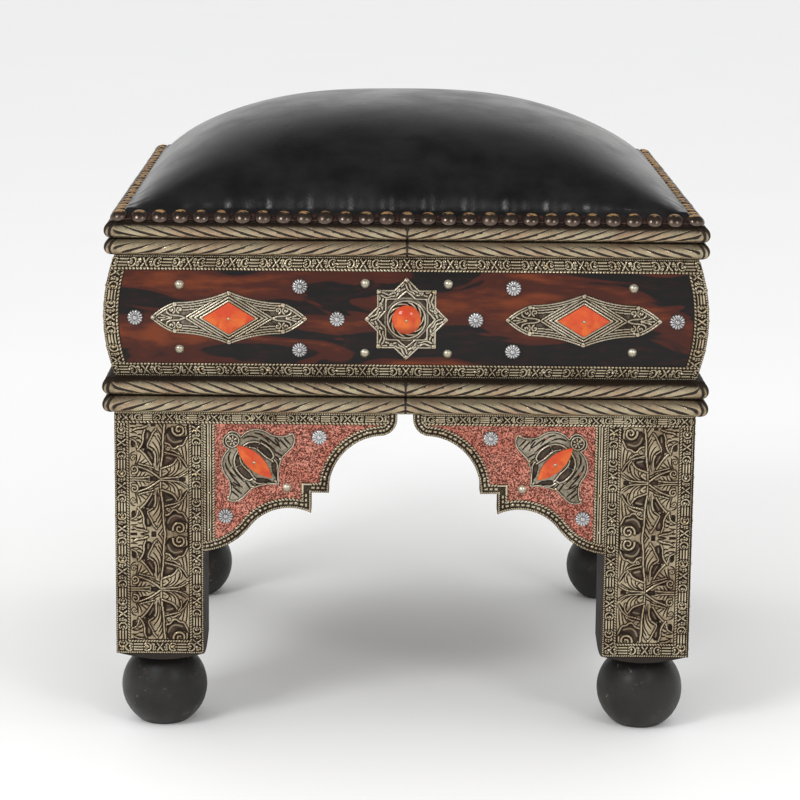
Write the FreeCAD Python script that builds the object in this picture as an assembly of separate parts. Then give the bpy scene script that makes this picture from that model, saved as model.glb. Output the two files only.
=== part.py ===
"""A square Moroccan stool: leather crown, bulged frieze, rope mouldings, arched apron and ball feet.

Lengths are millimetres. The origin is at the middle of the bottom, +Z is up and the front faces -Y.
The four sides are alike, so each piece is drawn for the front and turned about the centre line.
"""
import FreeCAD, Part
import math
import os

V = FreeCAD.Vector
SIDES = ("front", "right", "back", "left")
CORNERS = ("front_left", "front_right", "back_right", "back_left")

# Fits and cuts
JOINT_CLEARANCE = 0.2
NAIL_CLEARANCE = 0.1
SOFT_CLEARANCE = 0.3
OVERRUN = 4.0

# Metal and leather stock
STRIP_THICKNESS = 1.0
SHEET_THICKNESS = 0.6
ROPE_SKIN_THICKNESS = 0.6
MOUNT_THICKNESS = 0.9
LEATHER_THICKNESS = 1.4

# Legs: a square post with metal on its two outer faces
LEG_OUTER_HALF = 220.0
LEG_SECTION = 67.0
LEG_METAL_LENGTH = 189.7
LEG_SHOULDER_HEIGHT = 7.0
LEG_SHOULDER_RADIUS = 27.0
LEG_SHOULDER_SPREAD = 47.0
LEG_TENON_SIDE = 34.0
LEG_TENON_LENGTH = 20.0

# Turned ball feet
BALL_RADIUS = 33.2
FOOT_FLAT_RADIUS = 17.8
NECK_RADIUS = 21.5
NECK_HEIGHT = 1.7
FOOT_TENON_RADIUS = 10.0
FOOT_TENON_LENGTH = 35.0

# Rails: mitred frames with two beads on the outer edge
BASE_RAIL_HEIGHT = 27.3
BASE_RAIL_WIDTH = 78.0
LOWER_ROPE_NECK = 2.1
TOP_RAIL_HEIGHT = 25.0
TOP_RAIL_WIDTH = 64.0
UPPER_ROPE_NECK = 0.45
ROPE_TAIL_STEP = 0.6
BEVEL_RUN = 10.0
BEVEL_RISE = 7.0
SEAT_LEDGE = 14.0

# Frieze between the rails, bulged outward
FRIEZE_HEIGHT = 92.5
FRIEZE_SETBACK = 1.0
FRIEZE_BULGE = 8.0
FRIEZE_BOARD_THICKNESS = 15.0
TONGUE_THICKNESS = 6.0
TONGUE_DEPTH = 6.0
FRIEZE_STRIP_WIDTH = 11.0

# Seat
SEAT_BOARD_THICKNESS = 12.0
CROWN_RISE = 70.5
CROWN_PLAN_POWER = 2.35
CROWN_ROUNDING = 1.45
CROWN_EDGE_RISE = 2.5
LEATHER_EDGE_INSET = 0.4
SECTION_PLACE_SHARES = (0.0, 0.36, 0.66, 0.86, 0.965, 1.0)
SHOULDER_PLACE_SHARES = (1.0, 0.97, 0.86, 0.62, 0.34)

# Arch brackets; the outline's turns are shares of the bracket's reach and drop, bows of its drop
BRACKET_THICKNESS = 18.0
BRACKET_DROP = 108.4
NOSE_GAP = 12.0
BRACKET_TONGUE_DEPTH = 5.0
TOP_TONGUE_SHARE = 0.816
SCALLOP_SHARES = (
    (1.000, 0.046, 0.000),
    (0.929, 0.157, 0.024),
    (0.650, 0.570, -0.118),
    (0.558, 0.570, 0.000),
    (0.558, 0.717, 0.000),
    (0.245, 0.812, -0.076),
    (0.000, 1.000, 0.042),
)

# Strips on legs and brackets
LEG_STRIP_WIDTH = 10.8
ARCH_STRIP_WIDTH = 9.0
EDGING_WIDTH = 8.5

# Star mount and its round stone; its ring and openings are shares of its radius
STAR_MARGIN = 3.65
STAR_RING_SHARE = 0.494
STAR_OPENING_SHARE = 0.652
STAR_WEB = 1.7
ROUND_STONE_RADIUS = 10.8
ROUND_STONE_RISE = 4.6
STONE_RIM = 1.0

# Lozenge mounts, placed by shares of the frieze's half width, and their diamond stones
LOZENGE_PLACE_SHARE = 0.607
LOZENGE_LENGTH_SHARE = 0.539
LOZENGE_HEIGHT = 41.0
LOZENGE_SHOULDER_SHARES = (0.686, 0.585)
LOZENGE_TIP_BULGE = 1.2
LOZENGE_WAIST_HOLLOW = 2.2
DIAMOND_LENGTH = 39.0
DIAMOND_HEIGHT = 24.0
DIAMOND_RISE = 3.6
GEM_TABLE_SHARE = 0.12

# Leaf mounts and their almond stones, set on a slant in the brackets
LEAF_PLACE_SHARES = (0.265, 0.349)
LEAF_SLANT_DEGREES = 43.5
LEAF_LENGTH = 56.5
LEAF_HALF_WIDTH = 36.5
LEAF_OUTLINE_SHARES = (
    (-0.530, 0.000, 0.000),
    (-0.372, 0.190, -0.065),
    (-0.112, 0.655, -0.085),
    (0.096, 1.000, 0.040),
    (0.240, 0.700, -0.045),
    (0.238, 0.480, 0.000),
    (0.466, 0.000, 0.030),
)
ALMOND_LENGTH = 36.5
ALMOND_WIDTH = 12.5
ALMOND_RISE = 3.4

# Nails and pins: head radius, head height, shank radius, shank length
COVER_NAIL = (5.4, 3.6, 0.9, 13.0)
ROSETTE_NAIL = (5.9, 2.4, 0.9, 12.0)
DOME_NAIL = (3.5, 2.6, 0.7, 10.0)
PIN = (1.2, 0.9, 0.5, 4.5)
STONE_PIN = (1.2, 0.9, 0.5, 12.0)
COVER_NAILS_PER_SIDE = 28

# Where nails stand: shares of the frieze's half width or the bracket's reach and drop, and insets
FRIEZE_ROSETTE_PLACE_SHARES = (0.237, 0.927)
OFFSET_ROSETTE_PLACE_SHARE = 0.365
OFFSET_ROSETTE_INSET = 11.25
OUTER_DOME_PLACE_SHARE = 0.776
OUTER_DOME_INSET = 10.75
INNER_DOME_PLACE_SHARE = 0.142
INNER_DOME_INSET = 8.75
ARCH_ROSETTE_SHARES = ((0.599, 0.171), (0.116, 0.743))
ARCH_DOME_SHARES = ((0.432, 0.537),)
FRIEZE_PIN_PITCH = 50.0
LEG_PIN_PITCH = 35.0
TOP_STRIP_PIN_PITCH = 42.0
EDGING_PIN_PITCH = 26.0
ARCH_PIN_PITCH = 31.0
MOUNT_PIN_INSET = 2.6

# Faces and levels that follow from these
WOOD_HALF = LEG_OUTER_HALF - STRIP_THICKNESS - SHEET_THICKNESS
SHEET_FACE = LEG_OUTER_HALF - STRIP_THICKNESS
LEG_INNER = LEG_OUTER_HALF - LEG_SECTION
LEG_CENTRE = (WOOD_HALF + LEG_INNER) / 2
BALL_CENTRE_HEIGHT = math.sqrt(BALL_RADIUS ** 2 - FOOT_FLAT_RADIUS ** 2)
NECK_LOW = BALL_CENTRE_HEIGHT + math.sqrt(BALL_RADIUS ** 2 - NECK_RADIUS ** 2)
FOOT_HEIGHT = NECK_LOW + NECK_HEIGHT
METAL_LOW = FOOT_HEIGHT + LEG_SHOULDER_HEIGHT
LEG_TOP = METAL_LOW + LEG_METAL_LENGTH
BRACKET_REACH = LEG_INNER - NOSE_GAP / 2
BRACKET_MIDDLE = WOOD_HALF - BRACKET_THICKNESS / 2
FRIEZE_EDGE_HALF = LEG_OUTER_HALF - FRIEZE_SETBACK
FRIEZE_LOW = LEG_TOP + BASE_RAIL_HEIGHT
FRIEZE_MIDDLE = FRIEZE_LOW + FRIEZE_HEIGHT / 2
FRIEZE_TOP = FRIEZE_LOW + FRIEZE_HEIGHT
FRIEZE_WINDOW_HALF = FRIEZE_HEIGHT / 2 - FRIEZE_STRIP_WIDTH
BULGE_RADIUS = ((FRIEZE_HEIGHT / 2) ** 2 + FRIEZE_BULGE ** 2) / (2 * FRIEZE_BULGE)
BULGE_CENTRE = FRIEZE_EDGE_HALF + FRIEZE_BULGE - BULGE_RADIUS
WOOD_BULGE_RADIUS = BULGE_RADIUS - STRIP_THICKNESS
FRIEZE_WOOD_EDGE = BULGE_CENTRE + math.sqrt(WOOD_BULGE_RADIUS ** 2 - (FRIEZE_HEIGHT / 2) ** 2)
FRIEZE_WOOD_FACE = BULGE_CENTRE + WOOD_BULGE_RADIUS
FRIEZE_INNER = FRIEZE_WOOD_EDGE - FRIEZE_BOARD_THICKNESS
FRIEZE_TONGUE_MIDDLE = (FRIEZE_WOOD_EDGE + FRIEZE_INNER) / 2
STAR_TIP_RADIUS = FRIEZE_WINDOW_HALF - STAR_MARGIN
LOZENGE_PLACE = FRIEZE_EDGE_HALF * LOZENGE_PLACE_SHARE
LOZENGE_LENGTH = FRIEZE_EDGE_HALF * LOZENGE_LENGTH_SHARE
ROPE_TOP = FRIEZE_TOP + TOP_RAIL_HEIGHT
FRAME_TOP = ROPE_TOP + BEVEL_RISE
ROPE_TAIL = FRIEZE_EDGE_HALF + ROPE_TAIL_STEP
LOWER_ROPE_HALF = ROPE_TAIL + LOWER_ROPE_NECK + BASE_RAIL_HEIGHT / 4
UPPER_ROPE_HALF = ROPE_TAIL + UPPER_ROPE_NECK + TOP_RAIL_HEIGHT / 4
BEVEL_TOP_HALF = ROPE_TAIL - BEVEL_RUN
BEVEL_TILT = math.atan2(BEVEL_RISE, BEVEL_RUN)
TOP_RAIL_INNER = UPPER_ROPE_HALF - TOP_RAIL_WIDTH
BOARD_HALF = TOP_RAIL_INNER + SEAT_LEDGE
WEDGE_REACH = LOWER_ROPE_HALF + OVERRUN


def quarter(shape, turns):
    """The piece on another side, turned about the stool's centre line."""
    turned = shape.copy()
    turned.rotate(V(0, 0, 0), V(0, 0, 1), 90.0 * turns)
    return turned


def all_round(pieces):
    """The pieces of the front, with their copies on the other three sides."""
    return [quarter(piece, turns) for turns in range(len(SIDES)) for piece in pieces]


def mirrored(shape):
    """The piece on the other half of the same side."""
    return shape.mirror(V(0, 0, 0), V(1, 0, 0))


def both_halves(pieces):
    """The pieces of the left half, with those of the right half."""
    return list(pieces) + [mirrored(piece) for piece in pieces]


def block(x_low, x_high, out_low, out_high, z_low, z_high):
    """A box on the front side; out is how far a face stands in front of the centre."""
    corner = V(x_low, -out_high, z_low)
    return Part.makeBox(x_high - x_low, out_high - out_low, z_high - z_low, corner)


def elevation(x, z):
    """A point of an outline seen from the front."""
    return V(x, 0, z)


def cross_section(out, z):
    """A point of an outline seen from the side, out in front of the centre."""
    return V(0, -out, z)


class Outline:
    """A closed flat outline, drawn edge by edge."""

    def __init__(self, place, first, second):
        self.place = place
        self.start = (first, second)
        self.here = self.start
        self.edges = []

    def line(self, first, second):
        """Adds a straight edge."""
        self.edges.append(Part.makeLine(self.place(*self.here), self.place(first, second)))
        self.here = (first, second)
        return self

    def arc(self, first, second, rise):
        """Adds an arc whose middle stands rise to the left of its chord."""
        run = (first - self.here[0], second - self.here[1])
        chord = math.hypot(*run)
        middle = (
            (first + self.here[0]) / 2 - run[1] / chord * rise,
            (second + self.here[1]) / 2 + run[0] / chord * rise,
        )
        ends = self.place(*self.here), self.place(*middle), self.place(first, second)
        self.edges.append(Part.Arc(*ends).toShape())
        self.here = (first, second)
        return self

    def turn(self, first, second, rise):
        """Adds an arc with this rise, or a straight edge where the rise is none."""
        if rise:
            return self.arc(first, second, rise)
        return self.line(first, second)

    def wire(self):
        """The closed wire."""
        if self.here != self.start:
            self.line(*self.start)
        return Part.Wire(self.edges)

    def face(self):
        """The closed face."""
        return Part.Face(self.wire())


def polygon(place, points):
    """An outline with straight edges only."""
    outline = Outline(place, *points[0])
    for point in points[1:]:
        outline.line(*point)
    return outline


def plate(face, out_low, out_high):
    """A flat piece from a face seen from the front."""
    moved = face.translated(V(0, -out_low, 0))
    return moved.extrude(V(0, out_low - out_high, 0))


def side_wedge():
    """The quarter of the plan that the front side fills, up to the mitres."""
    corners = ((0, 0), (-WEDGE_REACH, -WEDGE_REACH), (WEDGE_REACH, -WEDGE_REACH))
    plan = [V(x, y, -OVERRUN) for x, y in corners]
    face = Part.Face(Part.makePolygon(plan + plan[:1]))
    return face.extrude(V(0, 0, FRAME_TOP + CROWN_RISE))


def moulding(outline):
    """A length of moulding on the front side, mitred at both ends."""
    face = outline.face().translated(V(-WEDGE_REACH, 0, 0))
    return face.extrude(V(2 * WEDGE_REACH, 0, 0)).common(side_wedge())


def bulge(radius):
    """The round bar whose front is the frieze's bulge."""
    base = V(-WEDGE_REACH, -BULGE_CENTRE, FRIEZE_MIDDLE)
    return Part.makeCylinder(radius, 2 * WEDGE_REACH, base, V(1, 0, 0))


def on_bulge(face, thickness):
    """A thin piece of the face's outline, bent over the frieze."""
    whole = plate(face, FRIEZE_INNER, FRIEZE_EDGE_HALF + FRIEZE_BULGE + OVERRUN)
    return whole.common(bulge(WOOD_BULGE_RADIUS + thickness)).cut(bulge(WOOD_BULGE_RADIUS))


def bulge_half(z, radius):
    """How far the frieze stands out at a height, on a bulge of this radius."""
    return BULGE_CENTRE + math.sqrt(radius ** 2 - (z - FRIEZE_MIDDLE) ** 2)


class Nail:
    """One nail or pin: where its head sits and which way it points."""

    def __init__(self, sizes, seat, outward):
        self.sizes = sizes
        self.placement = FreeCAD.Placement(seat, FreeCAD.Rotation(V(0, 0, 1), outward))

    def solid(self):
        """The nail with its domed head and shank."""
        head_radius, head_height, shank_radius, shank_length = self.sizes
        outline = Outline(elevation, 0, -shank_length)
        outline.line(shank_radius, -shank_length).line(shank_radius, 0).line(head_radius, 0)
        sphere = (head_radius ** 2 + head_height ** 2) / (2 * head_height)
        chord = math.hypot(head_radius, head_height)
        outline.arc(0, head_height, math.sqrt(sphere ** 2 - chord ** 2 / 4) - sphere)
        made = outline.face().revolve(V(0, 0, 0), V(0, 0, 1), 360)
        return self.placed(made)

    def hole(self):
        """The pilot hole for the shank."""
        radius = self.sizes[2] + NAIL_CLEARANCE
        length = self.sizes[3] + NAIL_CLEARANCE
        return self.placed(Part.makeCylinder(radius, length + STRIP_THICKNESS, V(0, 0, -length)))

    def placed(self, shape):
        """The shape moved from its own axis to the nail's place."""
        shape.Placement = self.placement.multiply(shape.Placement)
        return shape


def pilot_holes(nails):
    """All the nails' holes as one tool."""
    return Part.makeCompound([nail.hole() for nail in nails])


def flat_nail(sizes, x, z, out):
    """A nail driven square into an upright face."""
    return Nail(sizes, V(x, -out, z), V(0, -1, 0))


def bulge_nail(sizes, x, z, radius):
    """A nail driven square into the frieze's bulge."""
    angle = math.asin((z - FRIEZE_MIDDLE) / radius)
    return Nail(sizes, V(x, -bulge_half(z, radius), z), V(0, -math.cos(angle), math.sin(angle)))


def spread(low, high, pitch):
    """Even places from low to high, both ends included, near the pitch."""
    steps = max(1, round((high - low) / pitch))
    return [low + (high - low) * step / steps for step in range(steps + 1)]


def foot():
    """A turned ball with a flat under it, a neck and a round tenon, on the front left."""
    chord = math.hypot(NECK_RADIUS - FOOT_FLAT_RADIUS, NECK_LOW)
    bow = BALL_RADIUS - math.sqrt(BALL_RADIUS ** 2 - chord ** 2 / 4)
    outline = Outline(elevation, 0, 0)
    outline.line(FOOT_FLAT_RADIUS, 0).arc(NECK_RADIUS, NECK_LOW, -bow)
    outline.line(NECK_RADIUS, FOOT_HEIGHT).line(FOOT_TENON_RADIUS, FOOT_HEIGHT)
    outline.line(FOOT_TENON_RADIUS, FOOT_HEIGHT + FOOT_TENON_LENGTH)
    outline.line(0, FOOT_HEIGHT + FOOT_TENON_LENGTH)
    ball = outline.face().revolve(V(0, 0, 0), V(0, 0, 1), 360)
    return ball.translated(V(-LEG_CENTRE, -LEG_CENTRE, 0))


def bracket_grooves(slack):
    """Where the left bracket's tongues lie: one in the leg, one in the rail."""
    low = BRACKET_MIDDLE - TONGUE_THICKNESS / 2 - slack
    high = BRACKET_MIDDLE + TONGUE_THICKNESS / 2 + slack
    depth = BRACKET_TONGUE_DEPTH + slack
    toe = LEG_TOP - BRACKET_DROP + EDGING_WIDTH - slack
    in_leg = block(-LEG_INNER - depth, -LEG_INNER, low, high, toe, LEG_TOP)
    nose = -LEG_INNER + BRACKET_REACH * TOP_TONGUE_SHARE + slack
    in_rail = block(-LEG_INNER, nose, low, high, LEG_TOP, LEG_TOP + depth)
    return in_leg, in_rail


def leg_tenon(slack):
    """The square tenon on top of the front left leg."""
    half = LEG_TENON_SIDE / 2 + slack
    low, high = LEG_CENTRE - half, LEG_CENTRE + half
    return block(-high, -low, low, high, LEG_TOP, LEG_TOP + LEG_TENON_LENGTH + slack)


def leg():
    """The front left post: turned shoulder below, tenon above, bored for the foot."""
    post = block(-WOOD_HALF, -LEG_INNER, LEG_INNER, WOOD_HALF, FOOT_HEIGHT, LEG_TOP)
    slope = (LEG_SHOULDER_SPREAD - LEG_SHOULDER_RADIUS) / LEG_SHOULDER_HEIGHT
    top_radius = LEG_SHOULDER_RADIUS + slope * LEG_METAL_LENGTH
    centre = V(-LEG_CENTRE, -LEG_CENTRE, FOOT_HEIGHT)
    turned = Part.makeCone(LEG_SHOULDER_RADIUS, top_radius, LEG_METAL_LENGTH, centre)
    upper = block(-WOOD_HALF, -LEG_INNER, LEG_INNER, WOOD_HALF, METAL_LOW, LEG_TOP)
    post = post.common(turned).fuse(upper).fuse(leg_tenon(0)).removeSplitter()
    bore_radius = FOOT_TENON_RADIUS + JOINT_CLEARANCE
    bore_length = FOOT_TENON_LENGTH + JOINT_CLEARANCE
    post = post.cut(Part.makeCylinder(bore_radius, bore_length, centre))
    groove = bracket_grooves(JOINT_CLEARANCE)[0]
    other = groove.mirror(V(0, 0, 0), V(1, -1, 0))
    return post.cut(groove).cut(other)


def leg_sheet():
    """The thin sheet folded round the two outer faces of the front left leg."""
    plan = [
        (-SHEET_FACE, -SHEET_FACE), (-LEG_INNER, -SHEET_FACE), (-LEG_INNER, -WOOD_HALF),
        (-WOOD_HALF, -WOOD_HALF), (-WOOD_HALF, -LEG_INNER), (-SHEET_FACE, -LEG_INNER),
    ]
    points = [V(x, y, METAL_LOW) for x, y in plan]
    face = Part.Face(Part.makePolygon(points + points[:1]))
    return face.extrude(V(0, 0, LEG_METAL_LENGTH))


def leg_face_strips(outer, inner):
    """Three strips round a leg's face: two upright, one along the bottom, mitred below."""
    turn = math.copysign(LEG_STRIP_WIDTH, inner - outer)
    top = LEG_TOP - ARCH_STRIP_WIDTH
    low, high = METAL_LOW, METAL_LOW + LEG_STRIP_WIDTH
    corners = (
        [(outer, low), (outer + turn, high), (outer + turn, top), (outer, top)],
        [(inner, low), (inner - turn, high), (inner - turn, top), (inner, top)],
        [(outer, low), (inner, low), (inner - turn, high), (outer + turn, high)],
    )
    return [plate(polygon(elevation, points).face(), SHEET_FACE, LEG_OUTER_HALF) for points in corners]


def leg_pins(outer, inner):
    """The pins in one leg face's strips."""
    turn = math.copysign(LEG_STRIP_WIDTH / 2, inner - outer)
    low = METAL_LOW + LEG_STRIP_WIDTH / 2
    high = LEG_TOP - ARCH_STRIP_WIDTH - LEG_STRIP_WIDTH / 2
    places = [(x, z) for x in (outer + turn, inner - turn) for z in spread(low, high, LEG_PIN_PITCH)]
    places += [(x, low) for x in spread(outer + turn, inner - turn, LEG_STRIP_WIDTH * 2)[1:-1]]
    return [flat_nail(PIN, x, z, LEG_OUTER_HALF) for x, z in places]


def bead_edge(outline, core, low, high):
    """Adds the outer edge of a rail: two half-round beads, set back for their skins."""
    middle = (low + high) / 2
    bead = (high - low) / 4 - ROPE_SKIN_THICKNESS
    skin = ROPE_SKIN_THICKNESS
    outline.line(ROPE_TAIL, low).line(ROPE_TAIL, low + skin).line(core, low + skin)
    outline.arc(core, middle - skin, -bead).line(core, middle + skin)
    outline.arc(core, high - skin, -bead).line(ROPE_TAIL, high - skin).line(ROPE_TAIL, high)


def rope_skins(reach, low, high):
    """Four skins over one side's two beads, in half lengths that meet in the middle."""
    middle = (low + high) / 2
    bead = (high - low) / 4
    core = reach - bead
    skin = ROPE_SKIN_THICKNESS
    under = Outline(cross_section, ROPE_TAIL, low)
    under.line(core, low).arc(core, middle, -bead).line(core, middle - skin)
    under.arc(core, low + skin, bead - skin).line(ROPE_TAIL, low + skin)
    over = Outline(cross_section, ROPE_TAIL, high)
    over.line(core, high).arc(core, middle, bead).line(core, middle + skin)
    over.arc(core, high - skin, skin - bead).line(ROPE_TAIL, high - skin)
    left_half = block(-WEDGE_REACH, 0, 0, WEDGE_REACH, low, high)
    return both_halves([moulding(outline).common(left_half) for outline in (under, over)])


def tongue_groove(low, high):
    """A groove along the front for the frieze's tongue."""
    half = TONGUE_THICKNESS / 2 + JOINT_CLEARANCE
    out_low, out_high = FRIEZE_TONGUE_MIDDLE - half, FRIEZE_TONGUE_MIDDLE + half
    return block(-WEDGE_REACH, WEDGE_REACH, out_low, out_high, low, high)


def base_rail():
    """The front rail over the legs: mortised at its corners, grooved above and below."""
    core = LOWER_ROPE_HALF - BASE_RAIL_HEIGHT / 4
    inner = LOWER_ROPE_HALF - BASE_RAIL_WIDTH
    outline = Outline(cross_section, inner, LEG_TOP)
    bead_edge(outline, core, LEG_TOP, FRIEZE_LOW)
    outline.line(inner, FRIEZE_LOW)
    rail = moulding(outline)
    groove_low = FRIEZE_LOW - TONGUE_DEPTH - JOINT_CLEARANCE
    rail = rail.cut(tongue_groove(groove_low, FRIEZE_LOW + OVERRUN))
    cuts = both_halves([leg_tenon(JOINT_CLEARANCE), bracket_grooves(JOINT_CLEARANCE)[1]])
    return rail.cut(Part.makeCompound(cuts))


def frieze_board():
    """The bulged front board, with a tongue above and below."""
    tongue_in = FRIEZE_TONGUE_MIDDLE - TONGUE_THICKNESS / 2
    tongue_out = FRIEZE_TONGUE_MIDDLE + TONGUE_THICKNESS / 2
    outline = Outline(cross_section, FRIEZE_INNER, FRIEZE_LOW)
    outline.line(tongue_in, FRIEZE_LOW).line(tongue_in, FRIEZE_LOW - TONGUE_DEPTH)
    outline.line(tongue_out, FRIEZE_LOW - TONGUE_DEPTH).line(tongue_out, FRIEZE_LOW)
    outline.line(FRIEZE_WOOD_EDGE, FRIEZE_LOW)
    outline.arc(FRIEZE_WOOD_EDGE, FRIEZE_TOP, FRIEZE_WOOD_EDGE - FRIEZE_WOOD_FACE)
    outline.line(tongue_out, FRIEZE_TOP).line(tongue_out, FRIEZE_TOP + TONGUE_DEPTH)
    outline.line(tongue_in, FRIEZE_TOP + TONGUE_DEPTH).line(tongue_in, FRIEZE_TOP)
    outline.line(FRIEZE_INNER, FRIEZE_TOP)
    return moulding(outline)


def frieze_strips():
    """The frame of strips round the front frieze: two level, two curved uprights."""
    width = FRIEZE_STRIP_WIDTH
    reach = WEDGE_REACH
    corners = [(-reach, FRIEZE_LOW), (reach, FRIEZE_LOW), (reach, FRIEZE_TOP), (-reach, FRIEZE_TOP)]
    whole = on_bulge(polygon(elevation, corners).face(), STRIP_THICKNESS).common(side_wedge())
    low = whole.common(block(-reach, reach, 0, reach, FRIEZE_LOW, FRIEZE_LOW + width))
    high = whole.common(block(-reach, reach, 0, reach, FRIEZE_TOP - width, FRIEZE_TOP))
    between = whole.common(block(-reach, reach, 0, reach, FRIEZE_LOW + width, FRIEZE_TOP - width))
    bow = bulge_half(FRIEZE_LOW + width, BULGE_RADIUS) - FRIEZE_EDGE_HALF - FRIEZE_BULGE
    edge = bulge_half(FRIEZE_LOW + width, BULGE_RADIUS) - width
    window = Outline(elevation, edge, FRIEZE_LOW + width)
    window.arc(edge, FRIEZE_TOP - width, bow).line(-edge, FRIEZE_TOP - width)
    window.arc(-edge, FRIEZE_LOW + width, bow)
    ends = between.cut(plate(window.face(), 0, reach))
    return [low, high] + ends.Solids


def frieze_strip_pins():
    """The pins in the frieze's strips."""
    half = FRIEZE_STRIP_WIDTH / 2
    end = FRIEZE_EDGE_HALF - FRIEZE_STRIP_WIDTH
    levels = (FRIEZE_LOW + half, FRIEZE_TOP - half)
    places = [(x, z) for z in levels for x in spread(-end, end, FRIEZE_PIN_PITCH)]
    for z in spread(FRIEZE_LOW, FRIEZE_TOP, FRIEZE_PIN_PITCH / 2)[1:-1]:
        across = bulge_half(z, BULGE_RADIUS) - half
        places += [(-across, z), (across, z)]
    return [bulge_nail(PIN, x, z, BULGE_RADIUS) for x, z in places]


def top_rail():
    """The front rail under the seat: beads outside, a bevel for the leather, a ledge for the board."""
    core = UPPER_ROPE_HALF - TOP_RAIL_HEIGHT / 4
    ledge = FRAME_TOP - SEAT_BOARD_THICKNESS
    rebate = BOARD_HALF + JOINT_CLEARANCE
    outline = Outline(cross_section, TOP_RAIL_INNER, FRIEZE_TOP)
    bead_edge(outline, core, FRIEZE_TOP, ROPE_TOP)
    outline.line(BEVEL_TOP_HALF, FRAME_TOP).line(rebate, FRAME_TOP).line(rebate, ledge)
    outline.line(TOP_RAIL_INNER, ledge)
    groove_high = FRIEZE_TOP + TONGUE_DEPTH + JOINT_CLEARANCE
    return moulding(outline).cut(tongue_groove(FRIEZE_TOP - OVERRUN, groove_high))


def cover_nails():
    """One side's upholstery nails, from the left corner to the last before the right one."""
    seat_out = (ROPE_TAIL + BEVEL_TOP_HALF) / 2 + LEATHER_THICKNESS * math.sin(BEVEL_TILT)
    seat_z = (ROPE_TOP + FRAME_TOP) / 2 + LEATHER_THICKNESS * math.cos(BEVEL_TILT)
    outward = V(0, -math.sin(BEVEL_TILT), math.cos(BEVEL_TILT))
    pitch = 2 * seat_out / COVER_NAILS_PER_SIDE
    ridge = V(-BEVEL_RISE, -BEVEL_RISE, 2 * BEVEL_RUN).normalize()
    corner_lift = LEATHER_THICKNESS / math.cos(BEVEL_TILT)
    corner_out = (ROPE_TAIL + BEVEL_TOP_HALF) / 2
    corner_seat = V(-corner_out, -corner_out, (ROPE_TOP + FRAME_TOP) / 2 + corner_lift)
    nails = [Nail(COVER_NAIL, corner_seat, ridge)]
    for step in range(1, COVER_NAILS_PER_SIDE):
        nails.append(Nail(COVER_NAIL, V(step * pitch - seat_out, -seat_out, seat_z), outward))
    return nails


def crown_share(place_share):
    """The crown's height at a place, as a share of its rise; places run from 0 to 1."""
    return max(0.0, 1 - place_share ** CROWN_PLAN_POWER) ** (1 / CROWN_ROUNDING)


def crown(half, rise, base):
    """A pillow over a square: upright arch sections, each a line and arcs, lofted front to back."""
    places = [-share for share in SECTION_PLACE_SHARES[:0:-1]] + list(SECTION_PLACE_SHARES)
    wires = []
    for place in places:
        section_rise = CROWN_EDGE_RISE + (rise - CROWN_EDGE_RISE) * crown_share(abs(place))
        points = []
        for share in SHOULDER_PLACE_SHARES:
            points.append(V(-half * share, half * place, base + section_rise * crown_share(share)))
        points.append(V(0, half * place, base + section_rise))
        points += [V(-point.x, point.y, point.z) for point in points[-2::-1]]
        arcs = [Part.Arc(*points[first:first + 3]).toShape() for first in range(0, len(points) - 1, 2)]
        wires.append(Part.Wire([Part.makeLine(points[-1], points[0])] + arcs))
    return Part.makeLoft(wires, True, False)


def frustum(low_half, low, high_half, high):
    """A square block whose sides lean in."""
    wires = []
    for half, z in ((low_half, low), (high_half, high)):
        corners = [V(-half, -half, z), V(half, -half, z), V(half, half, z), V(-half, half, z)]
        wires.append(Part.makePolygon(corners + corners[:1]))
    return Part.makeLoft(wires, True, True)


def leather_hollow():
    """The room inside the leather, over the frame."""
    return crown(BEVEL_TOP_HALF - LEATHER_THICKNESS, CROWN_RISE - LEATHER_THICKNESS, FRAME_TOP)


def leather_cover():
    """The leather: a crown with its nailed margin on the rails' bevel, open beneath."""
    side_offset = LEATHER_THICKNESS / math.sin(BEVEL_TILT)
    high = FRAME_TOP + LEATHER_THICKNESS
    high_half = BEVEL_TOP_HALF + side_offset - LEATHER_THICKNESS * BEVEL_RUN / BEVEL_RISE
    outer = frustum(ROPE_TAIL + side_offset, ROPE_TOP, high_half, high)
    edge = ROPE_TAIL - LEATHER_EDGE_INSET
    outer = outer.common(block(-edge, edge, -edge, edge, ROPE_TOP, high))
    outer = outer.fuse(crown(BEVEL_TOP_HALF, CROWN_RISE, FRAME_TOP))
    frame = frustum(ROPE_TAIL, ROPE_TOP, BEVEL_TOP_HALF, FRAME_TOP)
    return outer.cut(frame).cut(leather_hollow())


def seat_padding():
    """The stuffing on the seat board and the rails, just clear of the leather."""
    lowered = leather_hollow().translated(V(0, 0, -SOFT_CLEARANCE))
    reach = BEVEL_TOP_HALF - LEATHER_THICKNESS - SOFT_CLEARANCE
    return lowered.common(block(-reach, reach, -reach, reach, FRAME_TOP, FRAME_TOP + CROWN_RISE))


def seat_board():
    """The board let into the rails' ledge."""
    low = FRAME_TOP - SEAT_BOARD_THICKNESS
    return block(-BOARD_HALF, BOARD_HALF, -BOARD_HALF, BOARD_HALF, low, FRAME_TOP)


def arch_point(reach, drop):
    """A place on the left bracket, from the leg's inner face and the rail's underside."""
    return -LEG_INNER + reach, LEG_TOP - drop


def bracket_place(shares):
    """A place on the left bracket from its shares of the bracket's reach and drop."""
    return arch_point(BRACKET_REACH * shares[0], BRACKET_DROP * shares[1])


def scallop(outline):
    """Adds the bracket's scalloped lower edge, from the nose to the toe at the leg."""
    for reach_share, drop_share, bow_share in SCALLOP_SHARES:
        outline.turn(*bracket_place((reach_share, drop_share)), BRACKET_DROP * bow_share)
    return outline


def bracket_outline():
    """The left bracket's outline: leg side, rail side and scalloped edge."""
    outline = Outline(elevation, *arch_point(0, 0))
    outline.line(*arch_point(BRACKET_REACH, 0))
    return scallop(outline)


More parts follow.
